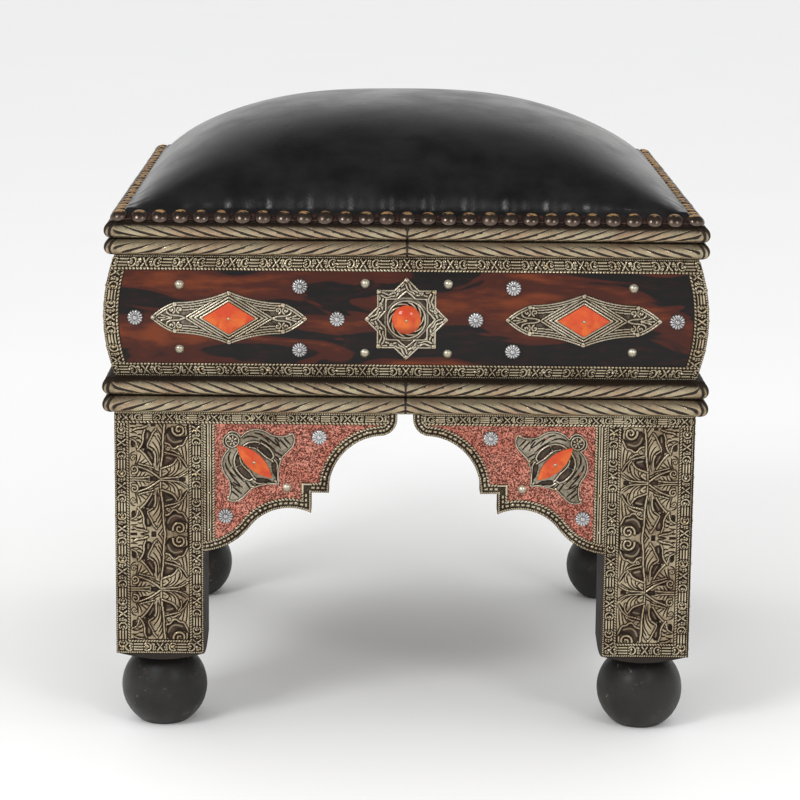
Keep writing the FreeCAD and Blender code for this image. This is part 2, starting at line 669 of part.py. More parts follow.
def arch_bracket():
    """The left bracket board, with tongues for the leg and the rail."""
    board = plate(bracket_outline().face(), WOOD_HALF - BRACKET_THICKNESS, WOOD_HALF)
    in_leg, in_rail = bracket_grooves(0)
    return board.fuse(in_leg).fuse(in_rail).removeSplitter()


def arch_strips(outer):
    """The left bracket's edging, its upright by the leg and the strip along the rail."""
    far = arch_point(-LEG_SECTION, -LEG_SECTION)
    roomy = Outline(elevation, *far)
    roomy.line(-LEG_INNER + BRACKET_REACH, far[1])
    scallop(roomy)
    roomy.line(far[0], LEG_TOP - BRACKET_DROP)
    inside = roomy.face().makeOffset2D(-EDGING_WIDTH, 0, False, False, False)
    whole = bracket_outline().face()
    edging = whole.cut(inside)
    rest = whole.common(inside)
    top_low = LEG_TOP - ARCH_STRIP_WIDTH
    upright_x = -LEG_INNER + ARCH_STRIP_WIDTH
    toe = LEG_TOP - BRACKET_DROP
    nose = -LEG_INNER + BRACKET_REACH
    beside_leg = [(-LEG_INNER, toe), (upright_x, toe), (upright_x, top_low), (-LEG_INNER, top_low)]
    upright = rest.common(polygon(elevation, beside_leg).face())
    under_rail = [(-LEG_INNER, top_low), (nose, top_low), (nose, LEG_TOP), (-LEG_INNER, LEG_TOP)]
    along = plate(rest.common(polygon(elevation, under_rail).face()), SHEET_FACE, LEG_OUTER_HALF)
    over_leg = block(-outer, -LEG_INNER, SHEET_FACE, LEG_OUTER_HALF, top_low, LEG_TOP)
    along = along.fuse(over_leg).removeSplitter()
    flat = [plate(face, SHEET_FACE, LEG_OUTER_HALF) for face in (edging, upright)]
    return [solid for piece in flat + [along] for solid in piece.Solids]


def arch_pins():
    """The pins in the left bracket's strips."""
    top = LEG_TOP - ARCH_STRIP_WIDTH / 2
    outer = -LEG_OUTER_HALF + ARCH_STRIP_WIDTH
    nose = -LEG_INNER + BRACKET_REACH - ARCH_STRIP_WIDTH * 2
    places = [(x, top) for x in spread(outer, nose, TOP_STRIP_PIN_PITCH)]
    beside = -LEG_INNER + ARCH_STRIP_WIDTH / 2
    low = LEG_TOP - BRACKET_DROP + EDGING_WIDTH * 2
    places += [(beside, z) for z in spread(low, top, ARCH_PIN_PITCH)[:-1]]
    for edge in bracket_outline().edges[2:]:
        count = max(1, round(edge.Length / EDGING_PIN_PITCH))
        for step in range(count):
            share = (step + 1 / 2) / count
            at = edge.FirstParameter + (edge.LastParameter - edge.FirstParameter) * share
            along = edge.tangentAt(at)
            spot = edge.valueAt(at)
            inward = V(along.z, 0, -along.x) if edge.Orientation == "Forward" else V(-along.z, 0, along.x)
            spot = spot + inward * (EDGING_WIDTH / 2)
            if edge.Length > EDGING_WIDTH * 2:
                places.append((spot.x, spot.z))
    return [flat_nail(PIN, x, z, LEG_OUTER_HALF) for x, z in places]


def arch_nails(sizes, place_shares):
    """Larger nails in the left bracket's copper, placed by shares of its reach and drop."""
    return [flat_nail(sizes, *bracket_place(shares), SHEET_FACE) for shares in place_shares]


def leaf_point(along, across):
    """A place on the left leaf mount, along its slant and across it."""
    slant = math.radians(LEAF_SLANT_DEGREES)
    x, z = bracket_place(LEAF_PLACE_SHARES)
    return (x + along * math.cos(slant) + across * math.sin(slant),
            z - along * math.sin(slant) + across * math.cos(slant))


def leaf_outline():
    """The leaf mount's outline: one half up to the point, then the other half back."""
    sized = [(along * LEAF_LENGTH, across * LEAF_HALF_WIDTH, bow * LEAF_LENGTH)
             for along, across, bow in LEAF_OUTLINE_SHARES]
    outline = Outline(elevation, *leaf_point(*sized[0][:2]))
    for along, across, bow in sized[1:]:
        outline.turn(*leaf_point(along, across), -bow)
    for before, step in zip(sized[-2::-1], sized[:0:-1]):
        outline.turn(*leaf_point(before[0], -before[1]), -step[2])
    outline.here = outline.start
    return outline


def almond(length, width):
    """A pointed oval along the leaf's slant."""
    outline = Outline(elevation, *leaf_point(-length / 2, 0))
    outline.arc(*leaf_point(length / 2, 0), width / 2)
    outline.arc(*leaf_point(-length / 2, 0), width / 2)
    outline.here = outline.start
    return outline


def gem(wide, narrow, base, rise):
    """A cut stone: an upright rim, then facets up to a small table."""
    low = wide.wire().translated(V(0, -base - STONE_RIM, 0))
    high = narrow.wire().translated(V(0, -base - rise, 0))
    rim = plate(wide.face(), base - STONE_RIM, base + STONE_RIM)
    return rim.fuse(Part.makeLoft([low, high], True, True))


def almond_stone():
    """The stone on the left leaf mount."""
    base = SHEET_FACE + MOUNT_THICKNESS
    wide = almond(ALMOND_LENGTH, ALMOND_WIDTH)
    narrow = almond(ALMOND_LENGTH * GEM_TABLE_SHARE, ALMOND_WIDTH * GEM_TABLE_SHARE)
    stone = gem(wide, narrow, base, ALMOND_RISE)
    behind = block(-LEG_INNER, 0, WOOD_HALF - BRACKET_THICKNESS, base, METAL_LOW, LEG_TOP)
    return stone.cut(behind)


def star_mount():
    """The pierced eight-pointed star in the middle of the front frieze."""
    inner_radius = STAR_TIP_RADIUS * math.cos(math.pi / 4) / math.cos(math.pi / 8)
    points = []
    for step in range(16):
        radius = inner_radius if step % 2 else STAR_TIP_RADIUS
        angle = step * math.pi / 8
        points.append((radius * math.sin(angle), FRIEZE_MIDDLE + radius * math.cos(angle)))
    face = polygon(elevation, points).face()
    ring = STAR_TIP_RADIUS * STAR_RING_SHARE + STAR_WEB / 2
    tip = STAR_TIP_RADIUS * STAR_OPENING_SHARE
    for step in range(8):
        angle = step * math.pi / 4
        hole = []
        for radius, across in ((tip, 0), (ring, tip - ring), (ring, ring - tip)):
            hole.append((radius * math.sin(angle) + across * math.cos(angle),
                         FRIEZE_MIDDLE + radius * math.cos(angle) - across * math.sin(angle)))
        face = face.cut(polygon(elevation, hole).face())
    return on_bulge(face, MOUNT_THICKNESS)


def star_tips():
    """Where the star's pins stand."""
    radius = STAR_TIP_RADIUS - MOUNT_PIN_INSET
    angles = [step * math.pi / 4 for step in range(8)]
    return [(radius * math.sin(angle), FRIEZE_MIDDLE + radius * math.cos(angle)) for angle in angles]


def lozenge_shoulder():
    """How far the lozenge's shoulder lies from its middle, along and across."""
    along, across = LOZENGE_SHOULDER_SHARES
    return LOZENGE_LENGTH / 2 * along, LOZENGE_HEIGHT / 2 * across


def lozenge_outline():
    """The left lozenge mount: pointed ends, shoulders and hollow sides to a point above and below."""
    half, top = LOZENGE_LENGTH / 2, LOZENGE_HEIGHT / 2
    reach, rise = lozenge_shoulder()
    outline = Outline(elevation, -LOZENGE_PLACE - half, FRIEZE_MIDDLE)
    for way in (1, -1):
        across = FRIEZE_MIDDLE + rise * way
        outline.arc(-LOZENGE_PLACE - reach * way, across, LOZENGE_TIP_BULGE)
        outline.arc(-LOZENGE_PLACE, FRIEZE_MIDDLE + top * way, -LOZENGE_WAIST_HOLLOW)
        outline.arc(-LOZENGE_PLACE + reach * way, across, -LOZENGE_WAIST_HOLLOW)
        outline.arc(-LOZENGE_PLACE + half * way, FRIEZE_MIDDLE, LOZENGE_TIP_BULGE)
    outline.here = outline.start
    return outline


def lozenge_pins():
    """Where the left lozenge's pins stand, at its points and two of its shoulders."""
    end = LOZENGE_LENGTH / 2 - MOUNT_PIN_INSET
    top = LOZENGE_HEIGHT / 2 - MOUNT_PIN_INSET
    reach, rise = (size - MOUNT_PIN_INSET for size in lozenge_shoulder())
    places = [(-end, 0), (end, 0), (0, top), (0, -top), (-reach, -rise), (reach, -rise), (reach, rise)]
    return [(-LOZENGE_PLACE + x, FRIEZE_MIDDLE + z) for x, z in places]


def diamond(share):
    """The left diamond stone's outline, at a share of its size."""
    half, top = DIAMOND_LENGTH / 2 * share, DIAMOND_HEIGHT / 2 * share
    corners = ((-half, 0), (0, top), (half, 0), (0, -top))
    return polygon(elevation, [(x - LOZENGE_PLACE, z + FRIEZE_MIDDLE) for x, z in corners])


def diamond_stone():
    """The stone on the left lozenge mount, its back hollowed to the bulge."""
    base = FRIEZE_WOOD_FACE + MOUNT_THICKNESS
    stone = gem(diamond(1), diamond(GEM_TABLE_SHARE), base, DIAMOND_RISE)
    return stone.cut(bulge(WOOD_BULGE_RADIUS + MOUNT_THICKNESS))


def round_stone():
    """The domed stone on the star, turned with its rim, its back hollowed to the bulge."""
    base = FRIEZE_WOOD_FACE + MOUNT_THICKNESS
    sphere = (ROUND_STONE_RADIUS ** 2 + ROUND_STONE_RISE ** 2) / (2 * ROUND_STONE_RISE)
    chord = math.hypot(ROUND_STONE_RADIUS, ROUND_STONE_RISE)
    outline = Outline(elevation, 0, -STONE_RIM)
    outline.line(ROUND_STONE_RADIUS, -STONE_RIM).line(ROUND_STONE_RADIUS, STONE_RIM)
    outline.arc(0, STONE_RIM + ROUND_STONE_RISE, math.sqrt(sphere ** 2 - chord ** 2 / 4) - sphere)
    stone = outline.face().revolve(V(0, 0, 0), V(0, 0, 1), 360)
    stone.Placement = FreeCAD.Placement(V(0, -base, FRIEZE_MIDDLE), FreeCAD.Rotation(V(0, 0, 1), V(0, -1, 0)))
    return stone.cut(bulge(WOOD_BULGE_RADIUS + MOUNT_THICKNESS))


def frieze_nails():
    """The rosettes and domed nails in the front frieze."""
    rosettes = [(share, 0) for share in FRIEZE_ROSETTE_PLACE_SHARES]
    offset = FRIEZE_WINDOW_HALF - OFFSET_ROSETTE_INSET
    rosettes += [(OFFSET_ROSETTE_PLACE_SHARE, offset), (OFFSET_ROSETTE_PLACE_SHARE, -offset)]
    outer = FRIEZE_WINDOW_HALF - OUTER_DOME_INSET
    inner = FRIEZE_WINDOW_HALF - INNER_DOME_INSET
    domes = [(OUTER_DOME_PLACE_SHARE, outer), (OUTER_DOME_PLACE_SHARE, -outer)]
    domes += [(INNER_DOME_PLACE_SHARE, inner), (INNER_DOME_PLACE_SHARE, -inner)]
    made = []
    for sizes, places in ((ROSETTE_NAIL, rosettes), (DOME_NAIL, domes)):
        spots = [(way * share * FRIEZE_EDGE_HALF, rise) for share, rise in places for way in (-1, 1)]
        made.append([bulge_nail(sizes, x, FRIEZE_MIDDLE + rise, WOOD_BULGE_RADIUS) for x, rise in spots])
    return made


def mirrored_nails(nails):
    """Flat nails of the left half, moved to the right half."""
    seats = [nail.placement.Base for nail in nails]
    return [flat_nail(nail.sizes, -seat.x, seat.z, -seat.y) for nail, seat in zip(nails, seats)]


def leaf_pins():
    """The pins in the left leaf mount, and the one through its stone."""
    face = SHEET_FACE + MOUNT_THICKNESS
    ends = [(LEAF_OUTLINE_SHARES[0][0] * LEAF_LENGTH + MOUNT_PIN_INSET, 0)]
    for along, across, bow in (LEAF_OUTLINE_SHARES[3], LEAF_OUTLINE_SHARES[5]):
        inset = across * LEAF_HALF_WIDTH - MOUNT_PIN_INSET
        back = along * LEAF_LENGTH - MOUNT_PIN_INSET / 4
        ends += [(back, -inset), (back, inset)]
    pins = [flat_nail(PIN, *leaf_point(*end), face) for end in ends]
    return pins, [flat_nail(STONE_PIN, *leaf_point(0, 0), face + ALMOND_RISE)]


def build():
    """Makes every piece and returns the nodes by name."""
    nodes = {}

    # Nails of one side
    cover = cover_nails()
    rosettes, domes = frieze_nails()
    strip_pins = frieze_strip_pins()
    mount_radius = WOOD_BULGE_RADIUS + MOUNT_THICKNESS
    star_pins = [bulge_nail(PIN, x, z, mount_radius) for x, z in star_tips()]
    left_lozenge_pins = [bulge_nail(PIN, x, z, mount_radius) for x, z in lozenge_pins()]
    right_lozenge_pins = [bulge_nail(PIN, -x, z, mount_radius) for x, z in lozenge_pins()]
    stone_face = FRIEZE_WOOD_FACE + MOUNT_THICKNESS
    round_face = stone_face + STONE_RIM + ROUND_STONE_RISE
    diamond_face = stone_face + DIAMOND_RISE
    round_pin = [flat_nail(STONE_PIN, 0, FRIEZE_MIDDLE, round_face)]
    diamond_places = (-LOZENGE_PLACE, LOZENGE_PLACE)
    diamond_pins = [flat_nail(STONE_PIN, x, FRIEZE_MIDDLE, diamond_face) for x in diamond_places]
    on_frieze = strip_pins + star_pins + left_lozenge_pins + right_lozenge_pins + round_pin + diamond_pins
    left_leg_pins = leg_pins(-LEG_OUTER_HALF, -LEG_INNER)
    right_leg_pins = leg_pins(SHEET_FACE, LEG_INNER)
    left_arch_pins = arch_pins()
    left_leaf_pins, left_stone_pin = leaf_pins()
    left_rosettes = arch_nails(ROSETTE_NAIL, ARCH_ROSETTE_SHARES)
    left_domes = arch_nails(DOME_NAIL, ARCH_DOME_SHARES)
    left_copper_nails = left_rosettes + left_domes + left_leaf_pins + left_stone_pin
    arch_holes = pilot_holes(left_arch_pins + left_copper_nails)

    # Legs, feet and their metal
    corner_pins = left_leg_pins + left_arch_pins
    corner_holes = pilot_holes(corner_pins)
    other_pins = right_leg_pins + mirrored_nails(left_arch_pins)
    other_holes = quarter(pilot_holes(other_pins), -1)
    post = leg().cut(corner_holes).cut(other_holes)
    sheet = leg_sheet().cut(corner_holes).cut(other_holes)
    left_strips = [piece.cut(corner_holes) for piece in leg_face_strips(-LEG_OUTER_HALF, -LEG_INNER)]
    right_holes = pilot_holes(right_leg_pins)
    right_strips = [piece.cut(right_holes) for piece in leg_face_strips(SHEET_FACE, LEG_INNER)]
    turned_foot = foot()
    for turns, corner in enumerate(CORNERS):
        nodes["leg_" + corner] = [quarter(post, turns)]
        nodes["foot_" + corner] = [quarter(turned_foot, turns)]
        nodes["leg_sheet_" + corner] = [quarter(sheet, turns)]
        strips = [quarter(piece, turns) for piece in left_strips]
        nodes["leg_strips_" + corner] = strips + [quarter(piece, turns - 1) for piece in right_strips]

    # Rails, frieze and arches
    rail = base_rail()
    corner_nail = quarter(cover[0].hole(), 1)
    upper_rail = top_rail().cut(pilot_holes(cover)).cut(corner_nail)
    board = frieze_board().cut(pilot_holes(on_frieze + rosettes + domes))
    bracket = arch_bracket().cut(arch_holes)
    copper = plate(bracket_outline().face(), WOOD_HALF, SHEET_FACE).cut(arch_holes)
    left_edging = [piece.cut(arch_holes) for piece in arch_strips(LEG_OUTER_HALF)]
    right_edging = [mirrored(piece.cut(arch_holes)) for piece in arch_strips(SHEET_FACE)]
    for turns, side in enumerate(SIDES):
        nodes["base_rail_" + side] = [quarter(rail, turns)]
        nodes["top_rail_" + side] = [quarter(upper_rail, turns)]
        nodes["frieze_board_" + side] = [quarter(board, turns)]
        nodes["arch_bracket_%s_left" % side] = [quarter(bracket, turns)]
        nodes["arch_bracket_%s_right" % side] = [quarter(mirrored(bracket), turns)]
        nodes["arch_copper_" + side] = [quarter(piece, turns) for piece in both_halves([copper])]
        nodes["arch_edging_" + side] = [quarter(piece, turns) for piece in left_edging + right_edging]

    # Seat
    nodes["seat_board"] = [seat_board()]
    nodes["seat_padding"] = [seat_padding()]
    nodes["leather_cover"] = [leather_cover().cut(Part.makeCompound(all_round([pilot_holes(cover)])))]
    nodes["cover_nails"] = all_round([nail.solid() for nail in cover])

    # Rope skins, frieze strips and mounts
    nodes["lower_rope_skins"] = all_round(rope_skins(LOWER_ROPE_HALF, LEG_TOP, FRIEZE_LOW))
    nodes["upper_rope_skins"] = all_round(rope_skins(UPPER_ROPE_HALF, FRIEZE_TOP, ROPE_TOP))
    strip_holes = pilot_holes(strip_pins)
    nodes["frieze_strips"] = all_round([piece.cut(strip_holes) for piece in frieze_strips()])
    nodes["star_mounts"] = all_round([star_mount().cut(pilot_holes(star_pins + round_pin))])
    lozenge = on_bulge(lozenge_outline().face(), MOUNT_THICKNESS)
    lozenge = lozenge.cut(pilot_holes(left_lozenge_pins + diamond_pins))
    nodes["lozenge_mounts"] = all_round(both_halves([lozenge]))
    leaf = plate(leaf_outline().face(), SHEET_FACE, SHEET_FACE + MOUNT_THICKNESS)
    leaf = leaf.cut(pilot_holes(left_leaf_pins + left_stone_pin))
    nodes["leaf_mounts"] = all_round(both_halves([leaf]))
    nodes["round_stones"] = all_round([round_stone().cut(pilot_holes(round_pin))])
    nodes["diamond_stones"] = all_round(both_halves([diamond_stone().cut(pilot_holes(diamond_pins))]))
    nodes["almond_stones"] = all_round(both_halves([almond_stone().cut(pilot_holes(left_stone_pin))]))

    # Small nails and pins
    arch_rosettes = left_rosettes + mirrored_nails(left_rosettes)
    arch_domes = left_domes + mirrored_nails(left_domes)
    nodes["rosette_nails"] = all_round([nail.solid() for nail in rosettes + arch_rosettes])
    nodes["dome_nails"] = all_round([nail.solid() for nail in domes + arch_domes])
    left_pins = left_arch_pins + left_leaf_pins + left_stone_pin
    pins = on_frieze + left_leg_pins + right_leg_pins + left_pins + mirrored_nails(left_pins)
    nodes["small_pins"] = all_round([nail.solid() for nail in pins])
    return nodes


def main():
    """Writes one STEP file for each node."""
    os.makedirs("parts", exist_ok=True)
    for name, pieces in build().items():
        solids = [solid for piece in pieces for solid in piece.Solids]
        shape = solids[0] if len(solids) == 1 else Part.makeCompound(solids)
        shape.exportStep(os.path.join("parts", name + ".step"))
        volume = sum(solid.Volume for solid in solids)
        sound = all(solid.isValid() and solid.Volume > 0 for solid in solids)
        state = "" if sound else "NOT SOUND"
        print("%-28s %4d solids %12.1f mm3 %s" % (name, len(solids), volume, state))


main()
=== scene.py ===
"""Looks of a square Moroccan stool: leather crown, figured frieze, rope mouldings and embossed metal legs.

Flat work is drawn in millimetres as seen from the front, x to the right and z up, for the left half of
the front side. It is mirrored for the right half and turned for the other sides. Meshes are in metres.
"""

import logging
import math
from dataclasses import dataclass
from enum import Enum
from typing import Callable

import bpy
import numpy as np
from bpy.types import ID, Material, Mesh, Node, NodeSocket, NodeTree, Object
from mathutils import Matrix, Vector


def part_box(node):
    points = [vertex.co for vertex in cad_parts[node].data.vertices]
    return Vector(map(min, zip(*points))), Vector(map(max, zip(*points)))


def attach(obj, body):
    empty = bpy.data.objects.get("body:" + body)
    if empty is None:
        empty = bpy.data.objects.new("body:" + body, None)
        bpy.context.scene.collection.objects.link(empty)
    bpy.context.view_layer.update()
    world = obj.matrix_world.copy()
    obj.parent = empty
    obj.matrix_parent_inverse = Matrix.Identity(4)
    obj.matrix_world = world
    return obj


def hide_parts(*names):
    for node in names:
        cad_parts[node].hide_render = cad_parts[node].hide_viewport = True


LOG = logging.getLogger("stool")
MM = 0.001
BLUR_TIMES, CAVITY_DARK = 5, 1.3
SHADE_GAP, SHADE_WIDTH = 0.28, 0.34
MAP_GAP = 1.2
SIDES = ("front", "right", "back", "left")
CORNERS = ("front_left", "front_right", "back_right", "back_left")

Places = np.ndarray
Line = list[tuple[float, float]]
Signed = Callable[[Places, Places], Places]
Put = Callable[[Places, Places, Places], Places]

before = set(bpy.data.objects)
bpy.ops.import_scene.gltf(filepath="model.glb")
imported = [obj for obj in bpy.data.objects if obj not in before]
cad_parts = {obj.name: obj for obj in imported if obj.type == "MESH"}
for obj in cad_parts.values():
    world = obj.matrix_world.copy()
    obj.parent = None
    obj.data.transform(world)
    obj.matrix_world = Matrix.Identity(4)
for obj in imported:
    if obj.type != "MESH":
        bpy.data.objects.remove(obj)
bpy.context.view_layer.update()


@dataclass(frozen=True)
class Layout:
    """The stool's faces and levels in millimetres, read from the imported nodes."""

    leg_face: float
    sheet_face: float
    wood_face: float
    leg_inner: float
    metal_low: float
    leg_top: float
    frieze_low: float
    frieze_top: float
    rope_top: float
    frame_top: float
    lower_reach: float
    upper_reach: float
    strip_reach: float
    board_reach: float
    nose: float
    toe: float
    crown_top: float
    leather_edge: float

    @classmethod
    def read(cls) -> "Layout":
        """Reads the layout from the nodes' boxes.

        Returns:
            The stool's layout.
        """
        def low(node: str, axis: int) -> float:
            """A node's lowest place along an axis."""
            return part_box(node)[0][axis] / MM

        def high(node: str, axis: int) -> float:
            """A node's highest place along an axis."""
            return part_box(node)[1][axis] / MM

        return cls(
            leg_face=-low("leg_strips_front_left", 0), sheet_face=-low("arch_copper_front", 1),
            wood_face=-high("arch_copper_front", 1), leg_inner=-high("leg_strips_front_left", 0),
            metal_low=low("leg_strips_front_left", 2), leg_top=high("arch_edging_front", 2),
            frieze_low=high("lower_rope_skins", 2), frieze_top=low("upper_rope_skins", 2),
            rope_top=high("upper_rope_skins", 2), frame_top=high("top_rail_front", 2),
            lower_reach=high("lower_rope_skins", 0), upper_reach=high("upper_rope_skins", 0),
            strip_reach=high("frieze_strips", 0), board_reach=-low("frieze_board_front", 1),
            nose=-high("arch_bracket_front_left", 0), toe=low("arch_copper_front", 2),
            crown_top=high("leather_cover", 2), leather_edge=high("leather_cover", 0),
        )

    @property
    def frieze_middle(self) -> float:
        """The level halfway up the frieze."""
        return (self.frieze_low + self.frieze_top) / 2

    @property
    def frieze_half(self) -> float:
        """Half the frieze's height."""
        return (self.frieze_top - self.frieze_low) / 2

    @property
    def bulge_radius(self) -> float:
        """The radius of the strips' outer face over the frieze's bulge."""
        rise = self.strip_reach - self.sheet_face
        return (self.frieze_half ** 2 + rise ** 2) / (2 * rise)

    @property
    def bulge_centre(self) -> float:
        """How far out the bulge's axis lies."""
        return self.strip_reach - self.bulge_radius

    @property
    def board_radius(self) -> float:
        """The radius of the wood's face on the bulge."""
        return self.board_reach - self.bulge_centre

    def bulge_out(self, z: Places, radius: float | Places) -> Places:
        """How far out a bulge of this radius stands at a height."""
        return self.bulge_centre + np.sqrt(np.maximum(radius ** 2 - (z - self.frieze_middle) ** 2, 1.0))


# Lines and outlines

def arc(middle: tuple, radius: float, start: float, end: float, count: int = 14) -> Line:
    """An arc round a middle, between two angles in degrees.

    Args:
        middle: The middle.
        radius: The radius.
        start: The first angle.
        end: The last angle.
        count: How many runs.

    Returns:
        The arc's points.
    """
    angles = [math.radians(start + (end - start) * step / count) for step in range(count + 1)]
    return [(middle[0] + radius * math.cos(a), middle[1] + radius * math.sin(a)) for a in angles]


def curl(middle: tuple, radius: float, start: float, turns: float, count: int = 26) -> Line:
    """A scroll that winds in to its middle, from an angle in degrees.

    Args:
        middle: The scroll's middle.
        radius: How far out it starts.
        start: The angle at which it starts.
        turns: How many turns, below zero for clockwise.
        count: How many runs.

    Returns:
        The scroll's points.
    """
    made = []
    for step in range(count + 1):
        share = step / count
        angle = math.radians(start + 360 * turns * share)
        reach = radius * (1 - 0.82 * share)
        made.append((middle[0] + reach * math.cos(angle), middle[1] + reach * math.sin(angle)))
    return made


def bowed(start: tuple, end: tuple, rise: float, pitch: float = 1.6) -> Line:
    """An arc from start to end whose middle stands rise to the left of the chord, without its first point.

    Args:
        start: The first end.
        end: The last end.
        rise: How high the middle stands.
        pitch: The points' spacing.

    Returns:
        The arc's points.
    """
    run = (end[0] - start[0], end[1] - start[1])
    chord = math.hypot(*run)
    count = max(1, round(chord / pitch))
    if not rise:
        return [(start[0] + run[0] * s / count, start[1] + run[1] * s / count) for s in range(1, count + 1)]
    radius = (chord ** 2 / 4 + rise ** 2) / (2 * rise)
    along, left = (run[0] / chord, run[1] / chord), (-run[1] / chord, run[0] / chord)
    middle = [(a + b) / 2 + n * (rise - radius) for a, b, n in zip(start, end, left)]
    half = math.asin(min(1.0, chord / 2 / abs(radius)))
    made = []
    for step in range(1, count + 1):
        angle = -half + 2 * half * step / count
        made.append(tuple(m + n * radius * math.cos(angle) + a * abs(radius) * math.sin(angle)
                          for m, n, a in zip(middle, left, along)))
    return made


def rounded(line: Line, closed: bool = False, times: int = 2) -> Line:
    """A line with its corners cut again and again until it runs smoothly.

    Args:
        line: The line.
        closed: Whether it runs back to its start.
        times: How often corners are cut.

    Returns:
        The smooth line.
    """
    for _ in range(times):
        ends = list(zip(line, line[1:] + line[:1])) if closed else list(zip(line, line[1:]))
        cut = [tuple(a * (1 - s) + b * s for a, b in zip(start, end))
               for start, end in ends for s in (0.25, 0.75)]
        line = cut if closed else [line[0]] + cut[1:-1] + [line[-1]]
    return line


def gap_to(line: Line, x: Places, y: Places) -> tuple[Places, Places]:
    """How far each place lies from a line, and how far along the line its nearest point is.

    Args:
        line: The line.
        x: How far across each place lies.
        y: How far up.

    Returns:
        The distances, and the runs along the line.
    """
    best = np.full(x.shape, np.inf)
    run = np.zeros(x.shape)
    before = 0.0
    for (ax, ay), (bx, by) in zip(line, line[1:]):
        dx, dy = bx - ax, by - ay
        length = math.hypot(dx, dy)
        if length < 1e-9:
            continue
        share = np.clip(((x - ax) * dx + (y - ay) * dy) / length ** 2, 0, 1)
        gap = np.hypot(x - ax - share * dx, y - ay - share * dy)
        nearer = gap < best
        best = np.where(nearer, gap, best)
        run = np.where(nearer, before + share * length, run)
        before += length
    return best, run


def within(corners: Line, x: Places, y: Places) -> Places:
    """Which places lie inside a closed outline.

    Args:
        corners: The outline's corners.
        x: How far across each place lies.
        y: How far up.

    Returns:
        True where a place lies inside.
    """
    inside = np.zeros(x.shape, bool)
    for (ax, ay), (bx, by) in zip(corners, corners[1:] + corners[:1]):
        if ay != by:
            inside ^= ((ay > y) != (by > y)) & (x < ax + (y - ay) * (bx - ax) / (by - ay))
    return inside


def edge_of(corners: Line) -> Signed:
    """The signed distance to a closed outline, below zero inside."""
    def signed(x: Places, y: Places) -> Places:
        """The distance, below zero inside."""
        gap = gap_to(corners + corners[:1], x, y)[0]
        return np.where(within(corners, x, y), -gap, gap)
    return signed


def eased(value: Places, low: float, high: float) -> Places:
    """A smooth step from nought at low to one at high."""
    share = np.clip((value - low) / (high - low), 0, 1)
    return share * share * (3 - 2 * share)


def domed(gap: Places, half: float | Places) -> Places:
    """The height of a round rib at a distance from its middle line."""
    return np.sqrt(np.clip(1 - (gap / half) ** 2, 0, None))


